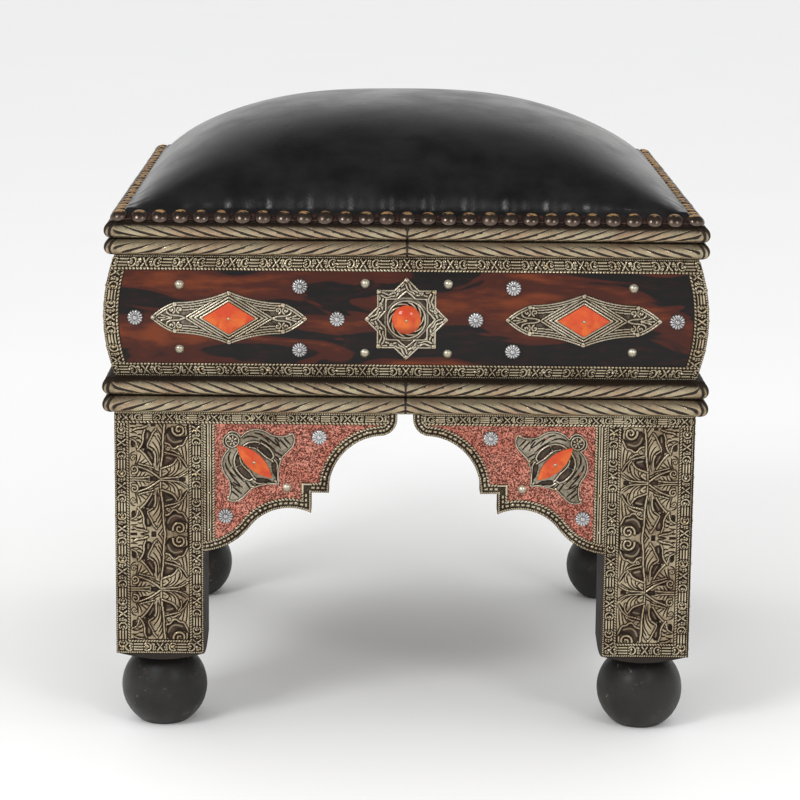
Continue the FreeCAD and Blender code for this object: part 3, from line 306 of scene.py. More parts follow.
class Relief:
    """A height field over flat places, raised and cut like chased metal."""

    def __init__(self, x: Places, y: Places, level: float) -> None:
        """Starts flat at a level, with no hollows and no dark."""
        self.x = x
        self.y = y
        self.height = np.full(x.shape, level)
        self.void = np.zeros(x.shape)
        self.ink = np.zeros(x.shape)

    def near(self, line: Line, reach: float) -> tuple[Places, Places, Places]:
        """The places near a line, with their distance and share along it.

        Args:
            line: The line.
            reach: How far from it.

        Returns:
            Which places are near, their distance and their share.
        """
        points = np.asarray(line, float)
        low, high = points.min(axis=0) - reach, points.max(axis=0) + reach
        spot = (self.x >= low[0]) & (self.x <= high[0]) & (self.y >= low[1]) & (self.y <= high[1])
        gap, run = gap_to(line, self.x[spot], self.y[spot])
        total = float(np.hypot(*np.diff(points, axis=0).T).sum()) or 1.0
        return spot, gap, run / total

    def ridge(self, line: Line, width: float, rise: float, level: float = 0.0,
              taper: float = 0.0) -> "Relief":
        """Raises a rounded rib along a line, thinner towards its end by the taper.

        Args:
            line: The rib's middle line.
            width: Its width.
            rise: Its height.
            level: The height under it.
            taper: How much thinner it ends.

        Returns:
            This relief.
        """
        spot, gap, share = self.near(line, width)
        half = width / 2 * (1 - taper * share)
        profile = domed(gap, half)
        now = self.height[spot]
        self.height[spot] = np.where(profile > 0, np.maximum(now, level + rise * profile), now)
        self.ink[spot] = self._lined(self.ink[spot], gap, half, profile)
        return self

    @staticmethod
    def _lined(ink: Places, gap: Places, half: Places, profile: Places) -> Places:
        """The dark of the hollows, cleared from a rib and laid down beside it."""
        beside = np.exp(-((gap - half - SHADE_GAP) / SHADE_WIDTH) ** 2)
        return np.maximum(ink, 0.9 * beside) * (1 - np.minimum(1.0, 1.7 * profile))

    def groove(self, line: Line, width: float, depth: float, taper: float = 0.0) -> "Relief":
        """Cuts a soft groove along a line, fine at both ends.

        Args:
            line: The groove's line.
            width: Its width.
            depth: Its depth.
            taper: How much thinner it ends.

        Returns:
            This relief.
        """
        spot, gap, share = self.near(line, width * 1.5)
        half = width / 2 * (1 - taper * share) * (0.5 + 0.5 * np.sin(np.pi * np.clip(share, 0.02,
                                                                                     0.98)) ** 0.6)
        cut = np.exp(-(gap / half) ** 2 * 1.4)
        self.height[spot] -= depth * cut
        self.ink[spot] = np.maximum(self.ink[spot], np.minimum(1.0, 1.15 * cut))
        return self

    def opening(self, corners: Line, floor: float, soft: float = 0.8) -> "Relief":
        """Sinks the inside of an outline to a floor, with a slope of this width.

        Args:
            corners: The outline.
            floor: The floor's height.
            soft: The slope's width.

        Returns:
            This relief.
        """
        points = np.asarray(corners, float)
        low, high = points.min(axis=0), points.max(axis=0)
        spot = (self.x >= low[0]) & (self.x <= high[0]) & (self.y >= low[1]) & (self.y <= high[1])
        signed = edge_of(corners)(self.x[spot], self.y[spot])
        share = eased(-signed, 0.0, soft)
        self.height[spot] = self.height[spot] * (1 - share) + floor * share
        self.void[spot] = np.maximum(self.void[spot], share)
        self.ink[spot] = np.maximum(self.ink[spot], np.exp(-(signed / 0.5) ** 2))
        return self

    def soft_ridge(self, line: Line, width: float, rise: float, level: float = 0.0,
                   taper: float = 0.0) -> "Relief":
        """Raises a rib along a line whose corners are rounded."""
        return self.ridge(rounded(list(line)), width, rise, level, taper)

    def dot(self, middle: tuple, radius: float, rise: float, level: float = 0.0) -> "Relief":
        """Raises a small round boss."""
        gap = np.hypot(self.x - middle[0], self.y - middle[1])
        return self.rim(gap, radius * 2, rise, level)

    def rim(self, gap: Places, width: float, rise: float, level: float = 0.0) -> "Relief":
        """Raises a rib where a distance that is already known is small.

        Args:
            gap: Each place's distance.
            width: The rib's width.
            rise: Its height.
            level: The height under it.

        Returns:
            This relief.
        """
        profile = domed(gap, width / 2)
        self.height = np.where(profile > 0, np.maximum(self.height, level + rise * profile), self.height)
        self.ink = self._lined(self.ink, np.abs(gap), width / 2, profile)
        return self

    def twist(self, gap: Places, run: Places, width: float, rise: float, pitch: float) -> "Relief":
        """Raises a rope border: a rib with slanting cuts.

        Args:
            gap: Each place's distance.
            run: How far along it lies.
            width: The border's width.
            rise: Its height.
            pitch: The cuts' spacing.

        Returns:
            This relief.
        """
        profile = domed(gap, width / 2)
        cuts = np.cos(2 * np.pi * (run + gap * 0.7) / pitch)
        raised = rise * profile * (0.66 + 0.34 * cuts)
        self.height = np.where(profile > 0, np.maximum(self.height, raised), self.height)
        self.ink = self._lined(self.ink, np.abs(gap), width / 2, profile)
        self.ink = np.where(profile > 0, np.maximum(self.ink, np.clip(-1.3 * cuts - 0.1, 0, 1)), self.ink)
        return self


def blurred(values: Places, times: int) -> Places:
    """The values of a grid, smoothed by their neighbours.

    Args:
        values: The grid.
        times: How often it is smoothed.

    Returns:
        The smooth grid.
    """
    soft = values
    for _ in range(times):
        wide = np.pad(soft, 1, mode="edge")
        soft = (wide[:-2, 1:-1] + wide[2:, 1:-1] + wide[1:-1, :-2] + wide[1:-1, 2:] + 2 * soft) / 6
    return soft


@dataclass
class Plate:
    """A piece of thin metal as a net of four-sided faces."""

    points: Places
    quads: Places
    patina: Places
    void: Places
    flat: Places


@dataclass(frozen=True)
class Window:
    """The rectangle of flat places that a plate is cut from, in millimetres."""

    left: float
    right: float
    low: float
    high: float
    step: float = 0.6

    def places(self) -> tuple[Places, Places]:
        """The grid of places, x by z.

        Returns:
            The places' x and z.
        """
        columns = max(2, round((self.right - self.left) / self.step) + 1)
        rows = max(2, round((self.high - self.low) / self.step) + 1)
        return np.meshgrid(np.linspace(self.left, self.right, columns),
                           np.linspace(self.low, self.high, rows), indexing="ij")


def window_round(outline: Line, margin: float, step: float) -> Window:
    """The window that holds an outline with a margin."""
    low, high = np.min(outline, axis=0) - margin, np.max(outline, axis=0) + margin
    return Window(low[0], high[0], low[1], high[1], step)


def settled(x: Places, y: Places, signed: Signed) -> tuple[Places, Places]:
    """Places outside an outline, moved onto it.

    Args:
        x: How far across each place lies.
        y: How far up.
        signed: The outline's signed distance.

    Returns:
        The moved places.
    """
    tiny = 0.02
    for _ in range(4):
        value = signed(x, y)
        slope_x = (signed(x + tiny, y) - value) / tiny
        slope_y = (signed(x, y + tiny) - value) / tiny
        size = np.maximum(slope_x ** 2 + slope_y ** 2, 0.3)
        x, y = x - value * slope_x / size, y - value * slope_y / size
    return x, y


def cut_plate(window: Window, chase: Callable[[Places, Places], Relief], put: Put, floor: float,
              signed: Signed | None = None, ground: float = 0.12) -> Plate:
    """Cuts a plate to an outline, chases it and closes its rim down to a floor.

    Args:
        window: The rectangle of places that holds the plate.
        chase: Gives the relief over the places.
        put: Turns places and heights into points of the stool.
        floor: The height that the rim goes down to.
        signed: The outline, or none for the whole rectangle.
        ground: How dark the plain metal is.

    Returns:
        The plate, drawn for the left half of the front side.
    """
    x, y = window.places()
    inside = np.ones(x.shape, bool)
    if signed:
        inside = signed(x, y) <= 0
    cells = inside[:-1, :-1] | inside[1:, :-1] | inside[:-1, 1:] | inside[1:, 1:]
    used = np.zeros(x.shape, bool)
    for part in (used[:-1, :-1], used[1:, :-1], used[:-1, 1:], used[1:, 1:]):
        part |= cells
    stray = used & ~inside
    if signed and stray.any():
        x[stray], y[stray] = settled(x[stray], y[stray], signed)
    relief = chase(x, y)
    height = relief.height
    cavity = (blurred(height, BLUR_TIMES) - height) * CAVITY_DARK
    patina = np.clip((cavity + ground) * (1 - relief.ink) + relief.ink, 0, 1)
    index = np.full(x.shape, -1)
    index[used] = np.arange(used.sum())
    corners = [index[:-1, :-1], index[1:, :-1], index[1:, 1:], index[:-1, 1:]]
    quads = np.stack([corner[cells] for corner in corners], axis=1)
    flat = np.stack([x[used], y[used]], axis=1)
    points = put(x[used], y[used], height[used])
    patina, void = patina[used], relief.void[used]

    starts, ends = quads.ravel(), np.roll(quads, -1, axis=1).ravel()
    total = len(points)
    open_edges = ~np.isin(starts * total + ends, ends * total + starts)
    starts, ends = starts[open_edges], ends[open_edges]
    rim, inverse = np.unique(np.concatenate([starts, ends]), return_inverse=True)
    below = put(flat[rim, 0], flat[rim, 1], np.full(len(rim), floor))
    low = inverse + total
    skirt = np.stack([ends, starts, low[:len(starts)], low[len(starts):]], axis=1)
    return Plate(np.concatenate([points, below]), np.concatenate([quads, skirt]),
                 np.concatenate([patina, np.ones(len(rim))]), np.concatenate([void, void[rim]]),
                 np.concatenate([flat, flat[rim]]))


def upright(out: float) -> Put:
    """Puts places on an upright face of the front side, this far out."""
    return lambda x, z, height: np.stack([x, -(out + height), z], axis=1)


def net_plate(points: Places, patina: Places, flat: Places | None = None, flip: bool = False) -> Plate:
    """A plate from a grid of points, rows by columns.

    Args:
        points: The grid of points.
        patina: How dark each point is.
        flat: Its place on the flat map, or none to unroll it.
        flip: Whether the faces look the other way.

    Returns:
        The plate.
    """
    rows, columns = points.shape[:2]
    index = np.arange(rows * columns).reshape(rows, columns)
    corners = [index[:-1, :-1], index[1:, :-1], index[1:, 1:], index[:-1, 1:]]
    quads = np.stack([corner.ravel() for corner in corners], axis=1)
    if flip:
        quads = quads[:, ::-1]
    if flat is None:
        down = np.linalg.norm(np.diff(points, axis=0), axis=2).mean(axis=1)
        over = np.linalg.norm(np.diff(points, axis=1), axis=2).max(axis=0)
        down, over = np.concatenate([[0], np.cumsum(down)]), np.concatenate([[0], np.cumsum(over)])
        flat = np.stack(np.meshgrid(down, over, indexing="ij"), axis=2)
    return Plate(points.reshape(-1, 3), quads, patina.ravel(), np.zeros(points.shape[0] * points.shape[1]),
                 flat.reshape(-1, 2))


class Skin:
    """Gathers plates into one mesh, with masks for its material and its own flat map."""

    def __init__(self, fold: float = 64.0) -> None:
        """Starts empty; fold is how long a row of the flat map may be."""
        self.plates: list[Plate] = []
        self.fold = fold

    def add(self, plate: Plate, turns: int = 0, mirror: bool = False) -> "Skin":
        """Adds a plate, mirrored to the right half or turned to another side.

        Args:
            plate: The plate, drawn for the left half of the front side.
            turns: Quarter turns about the stool's centre line.
            mirror: Whether it goes to the right half of its side.
        """
        points, quads = plate.points.copy(), plate.quads
        if mirror:
            points[:, 0] *= -1
            quads = quads[:, ::-1]
        for _ in range(turns % 4):
            points = np.stack([-points[:, 1], points[:, 0], points[:, 2]], axis=1)
        self.plates.append(Plate(points, quads, plate.patina, plate.void, plate.flat))
        return self

    def _map(self) -> Places:
        """The flat map of every face corner, packed on shelves.

        Returns:
            A place from 0 to 1 for every corner of a face.
        """
        islands = []
        for plate in self.plates:
            flat = plate.flat - plate.flat.min(axis=0)
            size = flat.max(axis=0)
            if size[1] > size[0]:
                flat, size = flat[:, ::-1], size[::-1]
            corners = flat[plate.quads].astype(np.float64)
            row = np.floor(corners[:, :, 0].mean(axis=1) / self.fold)
            corners[:, :, 0] -= (row * self.fold)[:, None]
            corners[:, :, 1] += (row * (size[1] + 1.5))[:, None]
            corners -= corners.reshape(-1, 2).min(axis=0)
            islands.append(corners)
        sizes = [corners.reshape(-1, 2).max(axis=0) for corners in islands]
        width = max(max(size[0] for size in sizes), math.sqrt(sum(s[0] * s[1] for s in sizes)) * 1.05)
        order = sorted(range(len(islands)), key=lambda number: -sizes[number][1])
        across, base, shelf = 0.0, 0.0, 0.0
        for number in order:
            if across and across + sizes[number][0] > width:
                across, base, shelf = 0.0, base + shelf + MAP_GAP, 0.0
            islands[number] += (across, base)
            across += sizes[number][0] + MAP_GAP
            shelf = max(shelf, sizes[number][1])
        scale = max(width + 2, base + shelf)
        return np.concatenate([corners.reshape(-1, 2) for corners in islands]) / scale

    def build(self, name: str, finish: Material, slot: str, *nodes: str) -> Object:
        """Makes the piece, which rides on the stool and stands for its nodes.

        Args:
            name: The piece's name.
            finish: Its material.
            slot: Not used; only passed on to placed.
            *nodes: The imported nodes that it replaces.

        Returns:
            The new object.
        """
        offsets = np.cumsum([0] + [len(plate.points) for plate in self.plates])
        points = np.concatenate([plate.points for plate in self.plates]) * MM
        quads = np.concatenate([plate.quads + offset for plate, offset in zip(self.plates, offsets)])
        mesh = bpy.data.meshes.new(name)
        mesh.vertices.add(len(points))
        mesh.vertices.foreach_set("co", points.astype(np.float32).ravel())
        mesh.loops.add(quads.size)
        mesh.loops.foreach_set("vertex_index", quads.astype(np.int32).ravel())
        mesh.polygons.add(len(quads))
        mesh.polygons.foreach_set("loop_start", np.arange(len(quads), dtype=np.int32) * 4)
        mesh.polygons.foreach_set("use_smooth", np.ones(len(quads), bool))
        layer = mesh.uv_layers.new(name="OFBake")
        layer.data.foreach_set("uv", self._map().astype(np.float32).ravel())
        for mask in ("patina", "void"):
            values = np.concatenate([getattr(plate, mask) for plate in self.plates])
            mesh.attributes.new(mask, "FLOAT", "POINT").data.foreach_set("value", values.astype(np.float32))
        mesh.update()
        mesh.validate()
        return placed(name, mesh, finish, slot, *nodes)


def placed(name: str, mesh: Mesh, finish: Material, slot: str,
           *nodes: str) -> Object:
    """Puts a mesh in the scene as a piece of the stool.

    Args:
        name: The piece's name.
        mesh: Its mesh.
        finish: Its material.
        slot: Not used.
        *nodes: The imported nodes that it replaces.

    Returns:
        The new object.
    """
    made = linked(name, mesh)
    mesh.materials.append(finish)
    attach(made, "root")
    if nodes:
        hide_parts(*nodes)
    LOG.info("%s: %d faces", name, len(mesh.polygons))
    return made


def linked(name: str, data: ID) -> Object:
    """A new object in the scene."""
    made = bpy.data.objects.new(name, data)
    bpy.context.scene.collection.objects.link(made)
    return made


# Materials

class Tree:
    """A short way to place and link nodes."""

    def __init__(self, tree: NodeTree) -> None:
        """Takes the tree that the nodes go into."""
        self.tree = tree

    def add(self, kind: str, values: dict | None = None, **settings: object) -> Node:
        """Adds a node.

        Args:
            kind: The node's type.
            values: Numbers or sockets for its inputs, by name or number.
            **settings: The node's own settings.

        Returns:
            The node.
        """
        node = self.tree.nodes.new(kind)
        for name, value in settings.items():
            setattr(node, name, value)
        for name, value in (values or {}).items():
            self.feed(node.inputs[name], value)
        return node

    def feed(self, socket: NodeSocket, value: object) -> None:
        """Links a socket to an input, or gives it a number or colour."""
        if isinstance(value, NodeSocket):
            self.tree.links.new(value, socket)
        else:
            socket.default_value = value

    def math(self, operation: str, *values: object, clamp: bool = False) -> NodeSocket:
        """A sum of numbers or sockets."""
        node = self.add("ShaderNodeMath", dict(enumerate(values)), operation=operation, use_clamp=clamp)
        return node.outputs[0]

    def times(self, first: object, second: object, more: object = None) -> NodeSocket:
        """The product of two values, with more added where it is given."""
        if more is None:
            return self.math("MULTIPLY", first, second)
        return self.math("MULTIPLY_ADD", first, second, more)

    def mix(self, share: object, first: object, second: object) -> NodeSocket:
        """A colour between two colours.

        Args:
            share: How much of the second colour.
            first: The first colour.
            second: The second colour.

        Returns:
            The mixed colour.
        """
        node = self.add("ShaderNodeMix", data_type="RGBA")
        for socket, value in zip((0, 6, 7), (share, first, second)):
            self.feed(node.inputs[socket], value)
        return node.outputs[2]

    def between(self, value: object, low: float, high: float, first: float = 0.0,
                second: float = 1.0) -> NodeSocket:
        """A value moved smoothly from one range to another.

        Args:
            value: The value.
            low: Where it starts.
            high: Where it ends.
            first: What low becomes.
            second: What high becomes.

        Returns:
            The moved value.
        """
        node = self.add("ShaderNodeMapRange", {"Value": value, 1: low, 2: high, 3: first, 4: second},
                        interpolation_type="SMOOTHSTEP")
        return node.outputs[0]

    def noise(self, place: object, scale: float, detail: float = 3.0, rough: float = 0.5,
              warp: float = 0.0) -> NodeSocket:
        """Soft noise at a place.

        Args:
            place: The place.
            scale: How fine it is.
            detail: How many octaves.
            rough: How rough.
            warp: How twisted.

        Returns:
            The noise, from 0 to 1.
        """
        node = self.add("ShaderNodeTexNoise", {"Vector": place, "Scale": scale, "Detail": detail,
                                               "Roughness": rough, "Distortion": warp})
        return node.outputs["Fac"]

    def place(self, stretch: tuple = (1.0, 1.0, 1.0)) -> NodeSocket:
        """The place on the stool, stretched along its axes.

        Args:
            stretch: How much finer each axis is.

        Returns:
            The place.
        """
        spot = self.add("ShaderNodeTexCoord").outputs["Object"]
        if stretch == (1.0, 1.0, 1.0):
            return spot
        return self.add("ShaderNodeMapping", {"Vector": spot, "Scale": stretch}).outputs[0]

    def facing_up(self) -> NodeSocket:
        """How far the surface faces up, from -1 to 1."""
        geometry = self.add("ShaderNodeNewGeometry")
        return self.add("ShaderNodeSeparateXYZ", {0: geometry.outputs["Normal"]}).outputs["Z"]

    def mask(self, name: str) -> NodeSocket:
        """A mask that the mesh carries."""
        return self.add("ShaderNodeAttribute", attribute_name=name).outputs["Fac"]


class Effect(Enum):
    """Effects that more than one material uses, each a shader node group."""

    AGED_METAL = "aged metal"
    FINE_SCRATCHES = "fine scratches"
    RUBBED_WEAR = "rubbed wear"
    WOOD_GRAIN = "wood grain"


class Effects:
    """Builds the shared node groups once and places them in materials."""

    def __init__(self) -> None:
        """Builds every group."""
        self.groups = {Effect.AGED_METAL: self._aged_metal(), Effect.FINE_SCRATCHES: self._fine_scratches(),
                       Effect.RUBBED_WEAR: self._rubbed_wear(), Effect.WOOD_GRAIN: self._wood_grain()}

    @staticmethod
    def _start(effect: Effect, inputs: dict, outputs: dict) -> tuple[Tree, Node, Node]:
        """A new group with its sockets, as a tree, its input node and its output node.

        Args:
            effect: The effect.
            inputs: Its inputs with their values.
            outputs: Its outputs with their kinds.

        Returns:
            The tree, its input node and its output node.
        """
        kinds = {float: "NodeSocketFloat", tuple: "NodeSocketColor"}
        group = bpy.data.node_groups.new(effect.value, "ShaderNodeTree")
        for name, value in inputs.items():
            socket = group.interface.new_socket(name, in_out="INPUT", socket_type=kinds[type(value)])
            socket.default_value = value
        for name, kind in outputs.items():
            group.interface.new_socket(name, in_out="OUTPUT", socket_type=kinds[kind])
        tree = Tree(group)
        return tree, tree.add("NodeGroupInput"), tree.add("NodeGroupOutput")

    def _aged_metal(self) -> NodeTree:
        """Bright metal with brown patina in its hollows, uneven like hand-rubbed work.

        Returns:
            The node group.
        """
        tree, given, made = self._start(
            Effect.AGED_METAL,
            {"Patina": 0.0, "Bright": (0.6, 0.55, 0.45, 1.0), "Tint": (0.5, 0.38, 0.26, 1.0),
             "Dark": (0.05, 0.03, 0.02, 1.0)},
            {"Color": tuple, "Roughness": float, "Mask": float})
        place = tree.place()
        cloud = tree.noise(place, 42.0, 4.0, 0.6)
        speck = tree.noise(place, 520.0, 2.0, 0.6)
        rough = tree.times(cloud, 0.44, tree.times(speck, 0.30, -0.37))
        mask = tree.math("ADD", given.outputs["Patina"], rough, clamp=True)
        mask = tree.between(mask, 0.08, 0.72)
        tinted = tree.mix(tree.between(cloud, 0.36, 0.68), given.outputs["Bright"], given.outputs["Tint"])
        tree.feed(made.inputs["Color"], tree.mix(mask, tinted, given.outputs["Dark"]))
        tree.feed(made.inputs["Roughness"], tree.times(mask, 0.36, tree.between(
            speck, 0.3, 0.7, 0.22, 0.36)))
        tree.feed(made.inputs["Mask"], mask)
        return tree.tree

    def _fine_scratches(self) -> NodeTree:
        """Small dents and scratches of handled metal, as a height.

        Returns:
            The node group.
        """
        tree, given, made = self._start(Effect.FINE_SCRATCHES, {"Scale": 900.0}, {"Height": float})
        place = tree.place()
        dents = tree.add("ShaderNodeTexNoise", {"Vector": place, "Scale": given.outputs["Scale"],
                                                "Detail": 2.0})
        drawn = tree.place((900.0, 900.0, 90.0))
        lines = tree.noise(drawn, 1.0, 1.0)
        tree.feed(made.inputs["Height"], tree.times(lines, 0.35, dents.outputs["Fac"]))
        return tree.tree

    def _rubbed_wear(self) -> NodeTree:
        """Where paint or varnish has been rubbed away, as a mask.

        Returns:
            The node group.
        """
        tree, given, made = self._start(Effect.RUBBED_WEAR, {"Amount": 0.4, "Scale": 60.0}, {"Mask": float})
        place = tree.place()
        broad = tree.add("ShaderNodeTexNoise", {"Vector": place, "Scale": given.outputs["Scale"],
                                                "Detail": 6.0, "Roughness": 0.72})
        chips = tree.noise(place, 330.0, 3.0, 0.7, 0.4)
        edges = tree.add("ShaderNodeNewGeometry").outputs["Pointiness"]
        worn = tree.times(tree.between(edges, 0.50, 0.58), 0.5, broad.outputs["Fac"])
        worn = tree.times(chips, 0.35, worn)
        limit = tree.math("SUBTRACT", 1.20, given.outputs["Amount"])
        over = tree.math("SUBTRACT", worn, limit)
        tree.feed(made.inputs["Mask"], tree.between(over, 0.0, 0.07))
        return tree.tree

    def _wood_grain(self) -> NodeTree:
        """Fine pores along a board, as a mask.

        Returns:
            The node group.
        """
        tree, given, made = self._start(Effect.WOOD_GRAIN, {"Along X": 1.0}, {"Mask": float})
        level = tree.noise(tree.place((18.0, 420.0, 420.0)), 1.0, 4.0, 0.65, 0.6)
        deep = tree.noise(tree.place((420.0, 18.0, 420.0)), 1.0, 4.0, 0.65, 0.6)
        upright = tree.noise(tree.place((420.0, 420.0, 18.0)), 1.0, 4.0, 0.65, 0.6)
        way = given.outputs["Along X"]
        flat = tree.add("ShaderNodeMix", {0: way, 2: deep, 3: level}).outputs[0]
        high = tree.math("GREATER_THAN", way, 1.5)
        tree.feed(made.inputs["Mask"], tree.add("ShaderNodeMix", {0: high, 2: flat, 3: upright}).outputs[0])
        return tree.tree

    def put(self, tree: Tree, effect: Effect, **values: object) -> Node:
        """Places an effect in a material with its own values, underscores standing for spaces.

        Args:
            tree: The material's tree.
            effect: The effect.
            **values: Its inputs.

        Returns:
            The group's node.
        """
        node = tree.tree.nodes.new("ShaderNodeGroup")
        node.node_tree = self.groups[effect]
        for name, value in values.items():
            tree.feed(node.inputs[name.replace("_", " ")], value)
        return node


def start_material(name: str, metallic: float = 0.0, **fixed: object) -> tuple[Material, Tree,
                                                                              Node]:
    """A material with its shader, on which the values that are the same all over are set.

    Args:
        name: The material's name.
        metallic: How metallic it is.
        **fixed: Other fixed values, underscores standing for spaces.

    Returns:
        The material, its tree and its shader node.
    """
    material = bpy.data.materials.new(name)
    material.use_nodes = True
    tree = Tree(material.node_tree)
    shader = material.node_tree.nodes["Principled BSDF"]
    shader.inputs["Metallic"].default_value = metallic
    for socket, value in fixed.items():
        shader.inputs[socket.replace("_", " ")].default_value = value
    return material, tree, shader


def dress(tree: Tree, shader: Node, colour: object, dull: object, height: object, distance: float,
          strength: float) -> None:
    """Feeds a finish to its shader.

    Args:
        tree: The material's tree.
        shader: The shader node.
        colour: The base colour.
        dull: The roughness.
        height: The relief, from 0 to 1.
        distance: How deep the relief is, in metres.
        strength: How strongly it shows.
    """
    node = tree.add("ShaderNodeBump", {"Strength": strength, "Distance": distance, "Height": height})
    for name, value in (("Base Color", colour), ("Roughness", dull), ("Normal", node.outputs["Normal"])):
        tree.feed(shader.inputs[name], value)


@dataclass(frozen=True)
class MetalFinish:
    """Old nickel silver or copper, worked by hand."""

    name: str
    bright: tuple
    tint: tuple
    dark: tuple
    metallic: float = 0.9

    def make(self, effects: Effects) -> Material:
        """Makes the material; its patina follows the mesh's own mask.

        Args:
            effects: The shared node groups.

        Returns:
            The material.
        """
        material, tree, shader = start_material(self.name, self.metallic, Specular_IOR_Level=0.12)
        mask = tree.mask("patina")
        aged = effects.put(tree, Effect.AGED_METAL, Patina=mask, Bright=self.bright, Tint=self.tint,
                           Dark=self.dark)
        void = tree.mask("void")
        earth = tree.noise(tree.place(), 150.0, 3.0)
        hollow = tree.mix(tree.between(earth, 0.35, 0.7), (0.010, 0.0065, 0.0045, 1.0),
                          (0.060, 0.034, 0.023, 1.0))
        deep = tree.math("MULTIPLY", void, 0.9, clamp=True)
        colour = tree.mix(deep, aged.outputs["Color"], hollow)
        dull = tree.times(tree.times(aged.outputs["Mask"], -0.5, 1.0), self.metallic)
        tree.feed(shader.inputs["Metallic"], tree.times(dull, tree.math("SUBTRACT", 1.0, deep)))
        marks = effects.put(tree, Effect.FINE_SCRATCHES, Scale=700.0)
        dress(tree, shader, colour, aged.outputs["Roughness"], marks.outputs["Height"], 0.00012, 0.5)
        return material


@dataclass(frozen=True)
class CopperFinish:
    """Copper sheet, stippled all over by a small punch."""

    name: str = "stippled copper"
    bright: tuple = (0.68, 0.270, 0.195, 1.0)
    dark: tuple = (0.105, 0.030, 0.021, 1.0)

    def make(self) -> Material:
        """Makes the material.

        Returns:
            The material.
        """
        material, tree, shader = start_material(self.name, 0.7)
        place = tree.place()
        worms = tree.noise(place, 920.0, 1.0, 0.5, 1.0)
        cloud = tree.noise(place, 60.0, 3.0)
        raised = tree.between(worms, 0.40, 0.56)
        warm = tree.mix(tree.between(cloud, 0.35, 0.65), self.bright, (0.585, 0.195, 0.135, 1.0))
        dull = tree.times(raised, -0.28, 0.62)
        dress(tree, shader, tree.mix(raised, self.dark, warm), dull, raised, 0.0005, 0.9)
        return material


@dataclass(frozen=True)
class FiguredFinish:
    """Red-brown wood with black flames along the board, under a clear varnish."""

    along_x: bool

    def make(self, effects: Effects) -> Material:
        """Makes the material for boards that run left to right, or front to back.

        Args:
            effects: The shared node groups.

        Returns:
            The material.
        """
        name = "figured wood " + ("left to right" if self.along_x else "front to back")
        material, tree, shader = start_material(name, 0.0, Coat_Weight=0.05, Coat_Roughness=0.12,
                                                Specular_IOR_Level=0.16)
        long, short = 8.5, 38.0
        wide = (long, short, short) if self.along_x else (short, long, short)
        place = tree.place(wide)
        sway = tree.noise(tree.place(tuple(v * 0.45 for v in wide)), 1.0, 2.0)
        moved = tree.add("ShaderNodeVectorMath", {0: place}, operation="ADD")
        shift = tree.add("ShaderNodeCombineXYZ", {"Z": tree.times(sway, 1.6)})
        tree.feed(moved.inputs[1], shift.outputs[0])
        flames = tree.noise(moved.outputs[0], 1.0, 3.0, 0.5, 0.9)
        bands = tree.between(flames, 0.500, 0.530)
        fine = tree.noise(tree.place(tuple(v * 6.0 for v in wide)), 1.0, 3.0, 0.6)
        streaked = tree.times(fine, 0.30, flames)
        red = tree.mix(tree.between(streaked, 0.70, 0.92), (0.052, 0.0125, 0.0078, 1.0),
                       (0.150, 0.033, 0.0105, 1.0))
        shade = tree.mix(tree.between(fine, 0.45, 0.85), (0.008, 0.007, 0.0068, 1.0),
                         (0.026, 0.010, 0.0075, 1.0))
        pores = effects.put(tree, Effect.WOOD_GRAIN, Along_X=1.0 if self.along_x else 0.0).outputs["Mask"]
        dull = tree.between(pores, 0.3, 0.7, 0.30, 0.46)
        dress(tree, shader, tree.mix(bands, shade, red), dull, pores, 0.0002, 0.35)
        return material


@dataclass(frozen=True)
class PaintedWood:
    """Plain wood under dark stain or paint, rubbed through in places."""

    name: str
    paint: tuple
    shade: tuple
    bare: tuple
    wear: float
    along: float
    roughness: float = 0.45
    chipped: float = 0.0

    def make(self, effects: Effects) -> Material:
        """Makes the material; along is 1 for left to right, 0 for front to back and 2 for upright grain.

        Args:
            effects: The shared node groups.

        Returns:
            The material.
        """
        material, tree, shader = start_material(self.name, Specular_IOR_Level=0.3)
        grain = effects.put(tree, Effect.WOOD_GRAIN, Along_X=self.along).outputs["Mask"]
        cloud = tree.noise(tree.place(), 35.0, 4.0, 0.6)
        worn = effects.put(tree, Effect.RUBBED_WEAR, Amount=self.wear, Scale=48.0).outputs["Mask"]
        coat = tree.mix(tree.between(cloud, 0.32, 0.7), self.paint, self.shade)
        coat = tree.mix(tree.times(tree.between(grain, 0.5, 0.75), 0.5), coat, self.shade)
        coat = tree.mix(tree.times(worn, 0.85), coat, self.bare)
        patch = tree.between(tree.noise(tree.place(), 24.0, 2.0), 0.50, 0.60)
        chips = tree.times(patch, tree.between(tree.noise(tree.place(), 260.0, 3.0, 0.65), 0.655, 0.685))
        coat = tree.mix(tree.times(chips, self.chipped), coat, (0.24, 0.23, 0.215, 1.0))
        dull = tree.times(worn, 0.25, tree.between(
            cloud, 0.3, 0.75, self.roughness - 0.08, self.roughness + 0.14))
        dress(tree, shader, coat, dull, tree.times(worn, -0.6, grain), 0.0003, 0.5)
        return material


